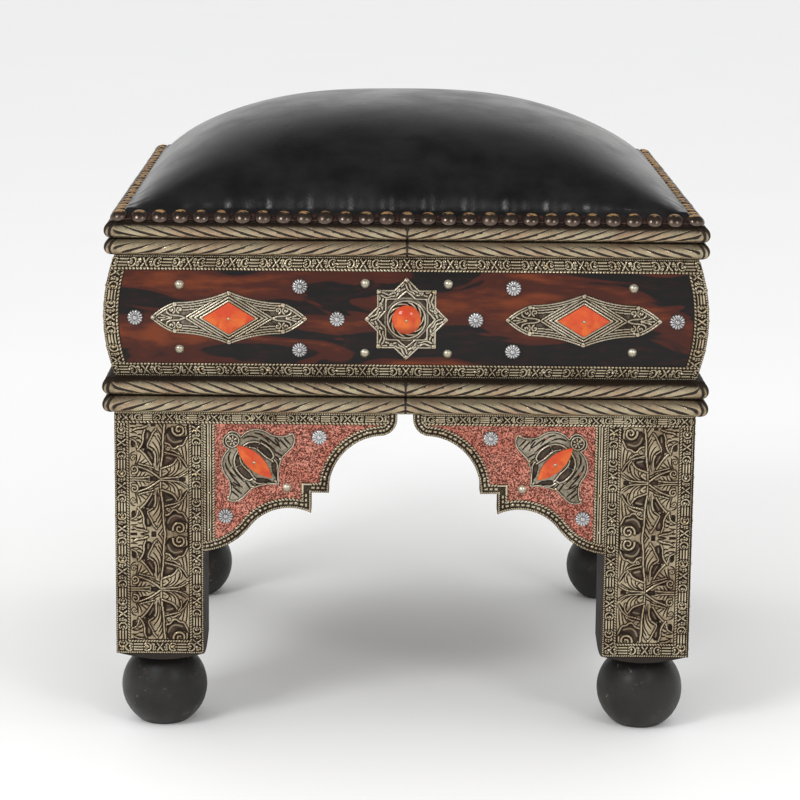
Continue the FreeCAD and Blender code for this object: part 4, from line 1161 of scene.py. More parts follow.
@dataclass(frozen=True)
class LeatherFinish:
    """Near-black hide with a fine pebble, red-brown at its raw edge."""

    name: str = "black leather"

    def make(self) -> Material:
        """Makes the material; its edge follows the mesh's own mask.

        Returns:
            The material.
        """
        material, tree, shader = start_material(self.name, 0.0, Coat_Weight=0.10, Coat_Roughness=0.14,
                                                Specular_IOR_Level=0.42)
        place = tree.place()
        pebble = tree.add("ShaderNodeTexVoronoi", {"Vector": place, "Scale": 620.0},
                          feature="SMOOTH_F1").outputs["Distance"]
        cloud = tree.noise(place, 26.0, 4.0, 0.6)
        edge = tree.mask("patina")
        ragged = tree.times(tree.noise(place, 110.0, 3.0), 1.5, tree.math("SUBTRACT", edge, 0.95))
        hide = tree.mix(tree.between(cloud, 0.3, 0.72), (0.0045, 0.0045, 0.0050, 1.0),
                        (0.013, 0.0125, 0.0130, 1.0))
        raw = tree.mix(tree.between(tree.noise(place, 300.0), 0.5, 0.66), (0.020, 0.009, 0.007, 1.0),
                       (0.072, 0.023, 0.015, 1.0))
        colour = tree.mix(tree.between(ragged, 0.35, 0.75), hide, raw)
        relief = tree.times(tree.noise(place, 240.0, 4.0, 0.6), 0.5, pebble)
        dress(tree, shader, colour, tree.between(cloud, 0.3, 0.75, 0.27, 0.38), relief, 0.00018, 0.45)
        return material


@dataclass(frozen=True)
class StoneFinish:
    """Polished orange stone with milky clouds, with painted light and shade: faces turned up are tinted
    redder and faces turned down get a painted darker shade.
    """

    name: str = "orange stone"

    def make(self) -> Material:
        """Makes the material.

        Returns:
            The material.
        """
        material, tree, shader = start_material(self.name, 0.0, Coat_Weight=0.45, Coat_Roughness=0.09,
                                                Specular_IOR_Level=0.15)
        place = tree.place()
        cloud = tree.noise(place, 95.0, 4.0, 0.55, 0.6)
        veins = tree.noise(place, 340.0, 3.0, 0.6, 1.5)
        body = tree.mix(tree.between(cloud, 0.34, 0.66), (0.50, 0.046, 0.009, 1.0), (0.63, 0.118, 0.014, 1.0))
        body = tree.mix(tree.times(tree.between(veins, 0.58, 0.70), 0.30), body,
                        (0.30, 0.035, 0.010, 1.0))
        # Painted light and shade by the way each face turns: a redder tint on faces turned up, a painted
        # darker shade on faces turned down.
        facing = tree.facing_up()
        upper = tree.between(facing, 0.02, 0.40)
        body = tree.mix(tree.times(upper, 0.75), body, (0.50, 0.060, 0.026, 1.0))
        under = tree.times(tree.between(facing, -0.25, -0.60), 0.7)
        colour = tree.mix(under, body, (0.30, 0.030, 0.010, 1.0))
        dress(tree, shader, colour, tree.between(veins, 0.3, 0.7, 0.14, 0.26), cloud, 0.00008, 0.3)
        return material


@dataclass(frozen=True)
class NailFinish:
    """Cast or turned nail heads, rubbed bright on top and given a painted highlight there: their upward faces
    are painted lighter and less metallic than the darker body.
    """

    name: str
    body: tuple
    # The rubbed colour, which also serves as a painted highlight on the head's top.
    rubbed: tuple
    top: float
    roughness: float
    metallic: float = 1.0
    rubbed_metallic: float = 1.0
    soft: float = 0.27
    other: tuple | None = None

    def make(self, effects: Effects) -> Material:
        """Makes the material; top says how much of the head's upper side is painted lighter, as rubbed metal
        with a painted highlight.

        Args:
            effects: The shared node groups.

        Returns:
            The material.
        """
        material, tree, shader = start_material(self.name, self.metallic)
        place = tree.place()
        cloud = tree.noise(place, 210.0, 4.0, 0.65)
        facing = tree.facing_up()
        # Painted highlight and reflection: faces turned up take the lighter rubbed colour and are made less
        # metallic, for rubbed metal catching the light.
        upward = tree.times(cloud, 0.55, facing)
        rubbed_and_lit_top = tree.between(upward, 1.35 - self.top, 1.35 - self.top + self.soft)
        own = tree.noise(place, 70.0, 1.0)
        tinted = tree.mix(tree.between(own, 0.44, 0.56), self.rubbed, self.other or tuple(
            0.6 * a + 0.4 * b for a, b in zip(self.rubbed, self.body)))
        tree.feed(shader.inputs["Metallic"], tree.times(
            rubbed_and_lit_top, self.rubbed_metallic - self.metallic, self.metallic))
        dull = tree.between(cloud, 0.3, 0.7, self.roughness, self.roughness + 0.16)
        marks = effects.put(tree, Effect.FINE_SCRATCHES, Scale=600.0).outputs["Height"]
        dress(tree, shader, tree.mix(rubbed_and_lit_top, self.body, tinted), dull, marks, 0.0001, 0.4)
        return material


@dataclass(frozen=True)
class ClothFinish:
    """Plain woven cloth round the stuffing."""

    name: str = "stuffing cloth"

    def make(self) -> Material:
        """Makes the material.

        Returns:
            The material.
        """
        material, tree, shader = start_material(self.name, 0.0, Sheen_Weight=0.3)
        wave = tree.add("ShaderNodeTexWave", {"Vector": tree.place(), "Scale": 400.0, "Distortion": 1.0})
        thread = wave.outputs["Fac"]
        colour = tree.mix(thread, (0.55, 0.50, 0.42, 1.0), (0.72, 0.68, 0.60, 1.0))
        dress(tree, shader, colour, tree.between(thread, 0.0, 1.0, 0.8, 0.95), thread, 0.0002, 0.5)
        return material


class Finishes:
    """Every material of the stool, made once."""

    def __init__(self) -> None:
        """Makes the node groups and every material."""
        effects = Effects()
        soot = (0.022, 0.014, 0.009, 1.0)

        def metal(name: str, bright: tuple, tint: tuple) -> Material:
            """A white metal with soot in its hollows."""
            return MetalFinish(name, (*bright, 1.0), (*tint, 1.0), soot).make(effects)

        self.panel = metal("embossed panel", (0.49, 0.41, 0.275), (0.38, 0.285, 0.18))
        self.strip = metal("stamped strip", (0.58, 0.50, 0.345), (0.44, 0.355, 0.235))
        self.rope = metal("rope metal", (0.42, 0.355, 0.235), (0.40, 0.285, 0.185))
        self.mount = metal("mount metal", (0.56, 0.50, 0.385), (0.40, 0.335, 0.235))
        self.rosette = metal("rosette metal", (0.57, 0.575, 0.585), (0.37, 0.36, 0.355))
        self.copper = CopperFinish().make()
        self.figured_x = FiguredFinish(True).make(effects)
        self.figured_y = FiguredFinish(False).make(effects)
        stained = ((0.0088, 0.008, 0.0074, 1.0), (0.0050, 0.0046, 0.0043, 1.0), (0.024, 0.017, 0.0125, 1.0),
                   0.36)
        self.wood_x = PaintedWood("dark wood left to right", *stained, 1.0, 0.5).make(effects)
        self.wood_y = PaintedWood("dark wood front to back", *stained, 0.0, 0.5).make(effects)
        self.wood_up = PaintedWood("dark wood upright", *stained, 2.0, 0.5).make(effects)
        self.foot = PaintedWood("black painted wood", (0.019, 0.0175, 0.016, 1.0),
                                (0.011, 0.0105, 0.010, 1.0), (0.050, 0.034, 0.023, 1.0),
                                0.42, 2.0, 0.44, 0.85).make(effects)
        self.board = PaintedWood("bare board", (0.34, 0.23, 0.13, 1.0), (0.24, 0.15, 0.08, 1.0),
                                 (0.40, 0.29, 0.18, 1.0), 0.3, 1.0, 0.7).make(effects)
        self.leather = LeatherFinish().make()
        self.stone = StoneFinish().make()
        # In the nail finishes the second colour is the rubbed top, which is also a painted highlight.
        self.bronze_nail = NailFinish("bronze nail", (0.125, 0.092, 0.074, 1.0), (0.46, 0.265, 0.105, 1.0),
                                      0.25, 0.20, 0.9, 0.30, 0.10).make(effects)
        self.bright_nail = NailFinish("bright nail", (0.38, 0.34, 0.25, 1.0), (0.82, 0.77, 0.62, 1.0),
                                      1.0, 0.26, 0.85, 0.75).make(effects)
        self.pin = NailFinish("small pin", (0.42, 0.31, 0.18, 1.0), (0.78, 0.60, 0.34, 1.0), 1.1, 0.24,
                              other=(0.72, 0.70, 0.66, 1.0)).make(effects)
        self.cloth = ClothFinish().make()


# Chased patterns

@dataclass(frozen=True)
class Stamping:
    """The repeat stamped along a strip: a cross, scrolls and bars between rope borders."""

    width: float
    repeat: float = 33.6
    outer_pitch: float = 1.75
    inner_pitch: float = 2.75
    outer_border: float = 1.2
    inner_border: float = 1.7

    def relief(self, run: Places, across: Places) -> Relief:
        """The strip's heights, run along it and across from its outer edge.

        Args:
            run: How far along each place lies.
            across: How far from the outer edge.

        Returns:
            The relief.
        """
        low, high = self.outer_border + 0.55, self.width - self.inner_border - 0.55
        size = (high - low) / 2 / 3.1
        folded = np.abs((run + self.repeat / 2) % self.repeat - self.repeat / 2)
        work = Relief(folded, (across - (low + high) / 2) / size, 0.25)
        work.ink[:] = 0.80
        work.ridge([(-0.4, -0.5), (2.3, 2.9)], 0.9, 0.75, 0.3)
        work.ridge([(-0.4, 0.5), (2.3, -2.9)], 0.9, 0.75, 0.3)
        work.ridge(curl((5.2, 1.3), 1.75, -110, 1.1, 18), 0.8, 0.72, 0.3)
        work.ridge(curl((4.9, -1.45), 1.55, 70, 1.1, 18), 0.75, 0.72, 0.3)
        work.ridge([(6.6, -0.4), (7.6, -2.6)], 0.8, 0.6, 0.3)
        work.ridge(arc((9.9, 0), 2.75, 35, 318, 20), 0.9, 0.8, 0.3)
        work.ridge(curl((10.3, 0.2), 1.35, -80, 0.8, 14), 0.9, 0.72, 0.3)
        work.dot((3.4, 0.0), 0.55, 0.6, 0.3)
        work.dot((12.2, 0.0), 0.55, 0.6, 0.3)
        for level in (-2.1, 0.0, 2.1):
            work.ridge([(13.6, level), (17.2, level)], 0.95, 0.7, 0.3)
        work.x, work.y = run, across
        work.twist(across - self.outer_border / 2 - 0.1, run, self.outer_border, 1.0, self.outer_pitch)
        work.twist(self.width - across - self.inner_border / 2 - 0.1, run, self.inner_border, 1.15,
                   self.inner_pitch)
        return work


@dataclass(frozen=True)
class BarStamping:
    """A strip with a plain bar down its middle between rope borders."""

    width: float

    def relief(self, run: Places, across: Places) -> Relief:
        """The strip's heights, run along it and across from one edge.

        Args:
            run: How far along each place lies.
            across: How far from the outer edge.

        Returns:
            The relief.
        """
        work = Relief(run, across, 0.24)
        work.ink[:] = 0.82
        work.rim(across - self.width * 0.42, 0.9, 0.6, 0.25)
        work.rim(across - self.width * 0.60, 0.7, 0.5, 0.25)
        work.twist(across - 1.15, run, 1.9, 1.05, 2.1)
        work.twist(self.width - across - 1.15, run, 1.9, 1.05, 2.1)
        return work


@dataclass(frozen=True)
class PearlStamping:
    """The scalloped edging: rope borders with small squares between fine lines."""

    width: float

    def relief(self, run: Places, across: Places) -> Relief:
        """The edging's heights, run along it and across from its outer edge.

        Args:
            run: How far along each place lies.
            across: How far from the outer edge.

        Returns:
            The relief.
        """
        work = Relief(run, across, 0.26)
        work.ink[:] = 0.60
        off = np.abs(across - self.width / 2)
        square = np.minimum(eased(1.35 - np.abs((run % 3.7) - 1.85), 0.0, 0.6), eased(0.95 - off, 0.0, 0.6))
        work.height += 0.5 * square
        work.ink *= 1 - 0.55 * square
        work.twist(across - 0.85, run, 1.35, 1.0, 1.7)
        work.twist(self.width - across - 0.95, run, 1.6, 1.15, 2.3)
        return work


@dataclass(frozen=True)
class Vine:
    """The embossed panel of a leg: leaves and volutes on a stem, mirrored about two axes again and again."""

    left: float
    top: float
    width: float
    module: float = 43.2
    grounds: tuple = (
        ((13.8, 38.4), (17.4, 35.1), (15.9, 30.7), (13.5, 26.2), (13.3, 23.5), (9.2, 23.0), (11.6, 27.5),
         (12.1, 30.0), (11.4, 33.2), (12.6, 36.1)),
        ((10.9, 23.0), (14.7, 23.3), (17.6, 21.3), (19.3, 17.3), (19.6, 12.9), (18.1, 11.9), (15.7, 14.9),
         (13.3, 19.3)),
        ((1.0, 30.0), (3.6, 29.5), (5.1, 27.2), (4.6, 24.3), (2.7, 24.8), (1.4, 27.2)),
        ((7.2, 11.1), (10.4, 10.4), (14.7, 8.9), (12.8, 7.4), (9.2, 8.9)),
        ((6.2, 9.2), (8.7, 6.0), (14.4, 5.2), (12.0, 7.6)),
        ((29.7, 39.6), (27.8, 36.1), (27.5, 32.2), (28.7, 28.7), (32.6, 25.7), (34.5, 24.8), (37.4, 26.7),
         (41.3, 27.2), (43.2, 31.7), (44.0, 34.0), (40.3, 32.4), (37.0, 32.0), (34.1, 33.3), (32.4, 36.1),
         (31.9, 40.6)),
        ((27.1, 19.8), (34.5, 17.3), (35.5, 16.3), (32.6, 12.9), (27.8, 10.9), (25.8, 8.9), (25.1, 10.9),
         (26.6, 14.9)),
        ((15.8, 0.9), (18.8, 2.1), (20.8, 1.6), (22.8, 0.0), (20.8, -1.6), (15.8, -0.9)),
        ((37.7, 0.0), (39.4, 1.9), (42.2, 1.4), (43.2, 0.0), (42.2, -1.4), (39.4, -1.9)),
        ((44.2, 36.5), (45.0, 33.0), (45.4, 38.0), (45.2, 44.0), (44.4, 44.0)),
        ((16.0, 44.0), (17.6, 40.6), (19.8, 41.4), (20.4, 44.0)),
        ((0.4, 44.0), (2.0, 41.8), (5.4, 42.0), (6.2, 44.0)),
    )
    veins: tuple = (
        ((22.0, 38.1), (24.2, 34.7), (24.9, 31.2), (24.7, 29.2)), ((21.8, 34.2), (23.7, 31.0), (24.7, 27.0)),
        ((20.5, 31.7), (22.9, 28.7), (24.1, 24.3), (23.9, 18.3), (23.2, 12.9)),
        ((18.1, 28.7), (20.5, 25.7), (22.4, 21.8), (22.6, 16.8), (22.0, 10.9)),
        ((15.9, 25.4), (18.6, 24.0), (20.6, 20.8), (21.2, 16.8), (21.0, 12.4), (21.2, 8.9)),
        ((18.8, 37.6), (20.4, 37.4), (21.8, 36.0)), ((17.4, 34.0), (19.4, 33.6), (20.8, 32.4)),
        ((21.4, 43.6), (23.4, 41.6), (25.0, 38.6)), ((23.8, 43.8), (25.2, 42.0), (26.0, 40.4)),
        ((4.2, 37.4), (7.4, 38.4), (11.0, 38.4)), ((1.2, 36.0), (4.0, 36.2), (6.2, 35.4)),
        ((1.6, 32.6), (5.0, 33.0), (8.4, 32.0)), ((5.6, 31.2), (8.0, 31.6), (10.0, 29.8)),
        ((6.9, 29.2), (8.0, 28.2), (8.8, 26.0)), ((6.6, 34.2), (8.6, 34.8), (10.2, 33.8)),
        ((1.0, 39.6), (3.0, 40.0), (5.0, 39.2)), ((8.0, 43.4), (11.0, 42.4), (14.4, 42.6)),
        ((8.5, 10.4), (13.3, 9.6), (16.9, 10.2)), ((7.8, 11.4), (11.8, 12.0), (14.9, 13.6)),
        ((6.9, 11.6), (9.8, 13.6), (12.3, 16.0)), ((5.8, 12.0), (7.7, 14.4), (9.0, 18.6)),
        ((4.6, 11.9), (5.9, 14.9), (6.0, 19.4)), ((0.8, 18.6), (2.0, 20.4), (4.4, 21.2)),
        ((16.2, 9.2), (20.5, 6.0), (25.8, 4.2), (27.3, 5.2)), ((17.8, 6.6), (20.6, 4.2), (24.4, 2.4)),
        ((27.8, 2.3), (31.6, 4.0), (34.5, 6.9), (34.9, 11.6)),
        ((30.7, 1.5), (34.5, 4.0), (37.2, 7.2), (37.9, 12.4)),
        ((32.6, 1.3), (36.5, 3.3), (39.9, 5.2), (42.6, 7.4)),
        ((25.4, 1.4), (29.0, 3.8), (31.6, 6.6), (31.4, 9.6)),
        ((28.0, 7.8), (29.4, 7.2), (29.8, 5.6)), ((37.2, 16.4), (40.0, 14.2), (41.6, 10.9), (43.9, 8.2)),
        ((32.1, 21.6), (34.5, 20.6), (37.2, 18.9)), ((36.5, 23.2), (38.4, 21.0), (39.9, 18.1)),
        ((39.9, 24.6), (40.8, 20.8), (41.4, 16.4)), ((28.3, 22.2), (30.7, 21.2), (33.8, 19.9)),
        ((42.6, 27.0), (43.5, 20.8), (43.9, 12.4)), ((33.6, 23.0), (35.6, 22.4), (37.2, 20.6)),
        ((7.0, 0.8), (8.4, 2.6), (9.4, 5.2)), ((8.6, 0.8), (10.6, 2.2), (12.4, 4.6)),
        ((10.4, 0.6), (12.6, 1.4), (14.8, 3.2)), ((3.0, 1.2), (5.0, 2.0), (6.6, 4.0)),
        ((33.8, 38.6), (34.8, 35.8), (37.6, 34.6)), ((40.6, 35.2), (42.6, 37.2), (43.0, 40.4)),
    )
    ribs: tuple = (
        (((27.3, 43.8), (26.6, 38.0), (25.7, 30.7), (25.9, 23.3), (25.2, 16.8), (24.0, 9.9), (23.8, 0.0)),
         1.35),
        (((20.8, 38.9), (18.2, 35.9), (16.7, 32.2), (14.7, 28.7), (13.6, 25.4), (15.6, 24.2), (17.9, 22.6)),
         1.0),
        (((8.7, 22.5), (11.4, 19.8), (13.8, 16.8), (16.2, 12.9), (17.3, 11.0)), 1.3),
        (((6.8, 22.5), (6.3, 26.2), (5.1, 29.7), (1.2, 31.4)), 1.0),
        (((6.8, 22.5), (9.6, 26.2), (11.0, 30.7), (10.6, 34.2), (12.4, 38.6)), 1.1),
        (((3.4, 38.0), (6.0, 39.4), (10.1, 39.8), (14.0, 41.2)), 1.2),
        (((27.6, 28.2), (30.7, 27.4), (32.1, 24.8), (34.1, 23.5), (36.0, 24.3), (37.4, 25.9), (40.8, 26.2),
          (42.3, 28.7), (44.0, 32.4)), 1.25),
        (((27.0, 21.0), (32.6, 19.5), (37.4, 18.3), (41.3, 14.9), (43.9, 9.9)), 0.95),
        (((24.4, 8.2), (27.8, 9.4), (32.1, 10.9), (34.5, 12.9), (36.0, 15.6), (37.0, 16.8)), 1.25),
        (((37.0, 16.8), (38.9, 14.6), (39.6, 11.4), (38.6, 8.6)), 0.9),
        (((23.4, 0.7), (19.1, 4.0), (14.7, 6.9), (10.4, 8.6), (5.1, 10.4)), 1.3),
        (((24.0, 0.6), (30.0, 1.1), (37.0, 1.4), (41.6, 3.4), (44.4, 5.6)), 1.0),
        (((0.6, 0.9), (5.0, 0.8), (10.0, 0.9), (15.6, 1.7)), 1.1),
        (((7.2, 12.0), (10.5, 10.9), (15.2, 9.8), (18.8, 8.8)), 0.9),
        (((42.9, 40.6), (43.6, 37.6), (43.4, 34.6)), 1.0),
    )
    floors: tuple = (
        (((28.9, 34.6), (30.7, 30.4), (34.5, 28.2), (39.6, 29.7)), 2.2), (((28.0, 16.8), (32.4, 15.8)), 2.2),
        (((14.2, 35.2), (13.9, 31.8)), 1.8), (((14.6, 20.8), (17.6, 15.6)), 1.5),
    )

    def relief(self, x: Places, z: Places) -> Relief:
        """The panel's heights at places of the left leg's front face.

        Args:
            x: How far right each place lies.
            z: How high it lies.

        Returns:
            The relief.
        """
        across = (x - self.left) * 45.4 / self.width
        fold = np.abs((self.top - z) % (2 * self.module) - self.module)
        work = Relief(across, fold, 0.95)
        for middle, size, rise in (((20.5, 22.0), 8.0, 0.4), ((33.5, 7.0), 7.0, 0.4),
                                   ((36.0, 21.5), 6.0, 0.35),
                                   ((7.0, 34.0), 6.5, 0.35), ((9.0, 14.5), 6.5, 0.35),
                                   ((10.0, 3.0), 5.0, 0.3)):
            work.height += rise * np.exp(-(np.hypot(across - middle[0], fold - middle[1]) / size) ** 2)
        for outline in self.grounds:
            work.opening(rounded(list(outline), True), 0.15, 0.9)
        for line in self.veins:
            work.groove(rounded(list(line)), 1.2, 0.75, 0.25)
        for line, width in self.ribs:
            work.soft_ridge(line, width, 1.15, 0.8, 0.2)
        work.ridge(curl((38.0, 38.4), 5.1, 165, 1.4, 40), 1.75, 1.35, 0.75, 0.3)
        work.ridge(curl((3.9, 7.5), 3.3, 250, 1.3, 30), 1.25, 1.15, 0.75, 0.3)
        work.ridge(curl((29.9, 24.2), 1.7, 200, 1.1, 18), 0.9, 1.1, 0.8)
        work.ridge(curl((3.2, 16.4), 1.9, 20, 1.1, 18), 0.9, 1.0, 0.75)
        for line, width in self.floors:
            spot, gap, _ = work.near(rounded(list(line)), width)
            raised = eased(width / 2 - gap, 0.0, 0.8)
            work.height[spot] += 0.4 * raised
            work.void[spot] *= 1 - 0.45 * raised
        work.height = np.clip(work.height, 0.12, 2.3)
        return work


@dataclass(frozen=True)
class StarWork:
    """The pierced eight-pointed star: bordered tips with scrolls round a beaded ring."""

    middle: float
    tip: float
    ring: float
    opening: float

    def outline(self) -> Line:
        """The star's corners.

        Returns:
            The corners, from the top tip.
        """
        inner = self.tip * math.cos(math.pi / 4) / math.cos(math.pi / 8)
        made = []
        for step in range(16):
            reach = inner if step % 2 else self.tip
            angle = step * math.pi / 8
            made.append((reach * math.sin(angle), self.middle + reach * math.cos(angle)))
        return made

    def relief(self, x: Places, z: Places) -> Relief:
        """The star's heights.

        Args:
            x: How far right each place lies.
            z: How high it lies.

        Returns:
            The relief.
        """
        reach = np.hypot(x, z - self.middle)
        turn = np.arctan2(x, z - self.middle)
        eighth = np.pi / 4
        side = (turn + eighth / 2) % eighth - eighth / 2
        along, across = reach * np.cos(side), reach * np.sin(side)
        work = Relief(along, np.abs(across), 0.42)
        border = -edge_of(self.outline())(x, z)
        base = self.ring + 0.85
        half = self.opening - base + 0.85
        work.opening([(self.opening, 0), (base, half), (base, -half)], 0.05, 0.5)
        work.ink = np.maximum(work.ink, 0.40)
        work.ridge([(self.opening + 1.2, -0.3), (base - 0.6, half + 1.3)], 1.15, 0.8, 0.4)
        work.y = across
        work.soft_ridge([(17.0, 8.6), (19.6, 8.9), (21.8, 6.6), (21.9, 3.9), (24.0, 2.9), (26.9, 1.9),
                         (28.6, 0.1)], 1.25, 0.85, 0.3)
        work.soft_ridge([(19.2, 5.6), (20.6, 4.4), (21.4, 1.6), (23.4, 0.2), (26.4, -0.6)], 1.05, 0.75, 0.35)
        work.soft_ridge([(17.2, -8.4), (19.0, -6.6), (20.9, -5.9), (22.2, -3.8), (23.2, -1.6)], 1.25, 0.85,
                        0.3)
        work.ridge(curl((21.9, -6.9), 1.9, 120, -1.1, 20), 1.05, 0.8, 0.3)
        work.soft_ridge([(24.6, -3.9), (26.0, -2.4), (28.0, -1.4)], 0.9, 0.7, 0.35)
        work.x, work.y = x, z
        work.rim(border - 0.7, 1.15, 0.8, 0.4)
        strands = np.cos(turn * 10 + reach * 2.3)
        ring = np.clip(1 - ((reach - 12.1) / 1.7) ** 2, 0, 1) ** 0.5
        work.height = np.where(ring > 0, 0.3 + 0.7 * ring * np.clip(0.5 + strands, 0, 1), work.height)
        work.ink = np.where(ring > 0, np.clip(0.75 - 1.1 * strands, 0.1, 0.95), work.ink)
        work.rim(reach - 14.2, 1.15, 0.85, 0.4)
        work.x, work.y = along, across
        return work.dot((self.tip - 2.2, 0.0), 1.9, 1.2)


@dataclass(frozen=True)
class LozengeWork:
    """The long mount round a diamond stone, with chevrons, scrolls and fans."""

    place: float
    middle: float
    length: float
    height: float
    shoulder: tuple = (0.686, 0.585)
    bulge: float = 1.2
    hollow: float = 2.2
    stone: tuple = (19.5, 12.0)

    def outline(self) -> Line:
        """The lozenge's outline, with points above and below its middle.

        Returns:
            The outline, from the left end.
        """
        half, top = self.length / 2, self.height / 2
        reach, rise = half * self.shoulder[0], top * self.shoulder[1]
        here = (-self.place - half, self.middle)
        made = []
        for way in (1, -1):
            turns = ((-self.place - reach * way, rise * way, self.bulge),
                     (-self.place, top * way, -self.hollow),
                     (-self.place + reach * way, rise * way, -self.hollow),
                     (-self.place + half * way, 0, self.bulge))
            for x, across, bow in turns:
                there = (x, self.middle + across)
                made += bowed(here, there, bow)
                here = there
        return made

    def relief(self, x: Places, z: Places) -> Relief:
        """The mount's heights.

        Args:
            x: How far right each place lies.
            z: How high it lies.

        Returns:
            The relief.
        """
        along, across = np.abs(x + self.place), np.abs(z - self.middle)
        work = Relief(along, across, 0.42)
        border = -edge_of(self.outline())(x, z)
        wide, tall = self.stone
        scale = wide * tall / math.hypot(wide, tall)
        off = (along / wide + across / tall - 1) * scale
        work.ink[:] = 0.50
        for inset, reach in ((4.3, 38.5), (6.3, 35.0)):
            fan = np.where((off > 7.9) & (along < reach), border, 99.0)
            work.rim(fan - inset, 0.9, 0.6, 0.4)
        for number, place in enumerate((0.9, 3.1, 5.0, 6.9)):
            chevron = np.where(along < 37, off, 99.0)
            work.rim(chevron - place, 1.0 if number else 1.5, 0.7 if number else 0.9, 0.4)
        work.ridge(curl((42.6, 6.2), 2.9, 250, -1.2, 26), 1.15, 0.8, 0.35)
        work.ridge(curl((36.8, 6.0), 2.5, 280, 1.1, 24), 1.05, 0.75, 0.35)
        work.soft_ridge([(33.0, 0.2), (37.0, 1.8), (42.0, 1.7), (46.4, 3.2), (46.6, 6.4), (44.6, 9.4)], 1.1,
                        0.75, 0.35)
        work.soft_ridge([(43.0, 0.3), (48.4, 1.2), (52.0, 3.2)], 1.0, 0.7, 0.35)
        work.soft_ridge([(47.6, 0.0), (52.6, 0.0)], 0.9, 0.7, 0.35)
        work.x, work.y = x, z
        work.rim(border - 0.7, 1.15, 0.8, 0.4)
        work.rim(border - 2.5, 0.9, 0.65, 0.4)
        work.x, work.y = along, across
        half, top = self.length / 2, self.height / 2
        for boss in ((half - 2.4, 0.0), (0.0, top - 2.2),
                     (half * self.shoulder[0], top * self.shoulder[1] - 2.0)):
            work.dot(boss, 1.7, 1.2)
        return work


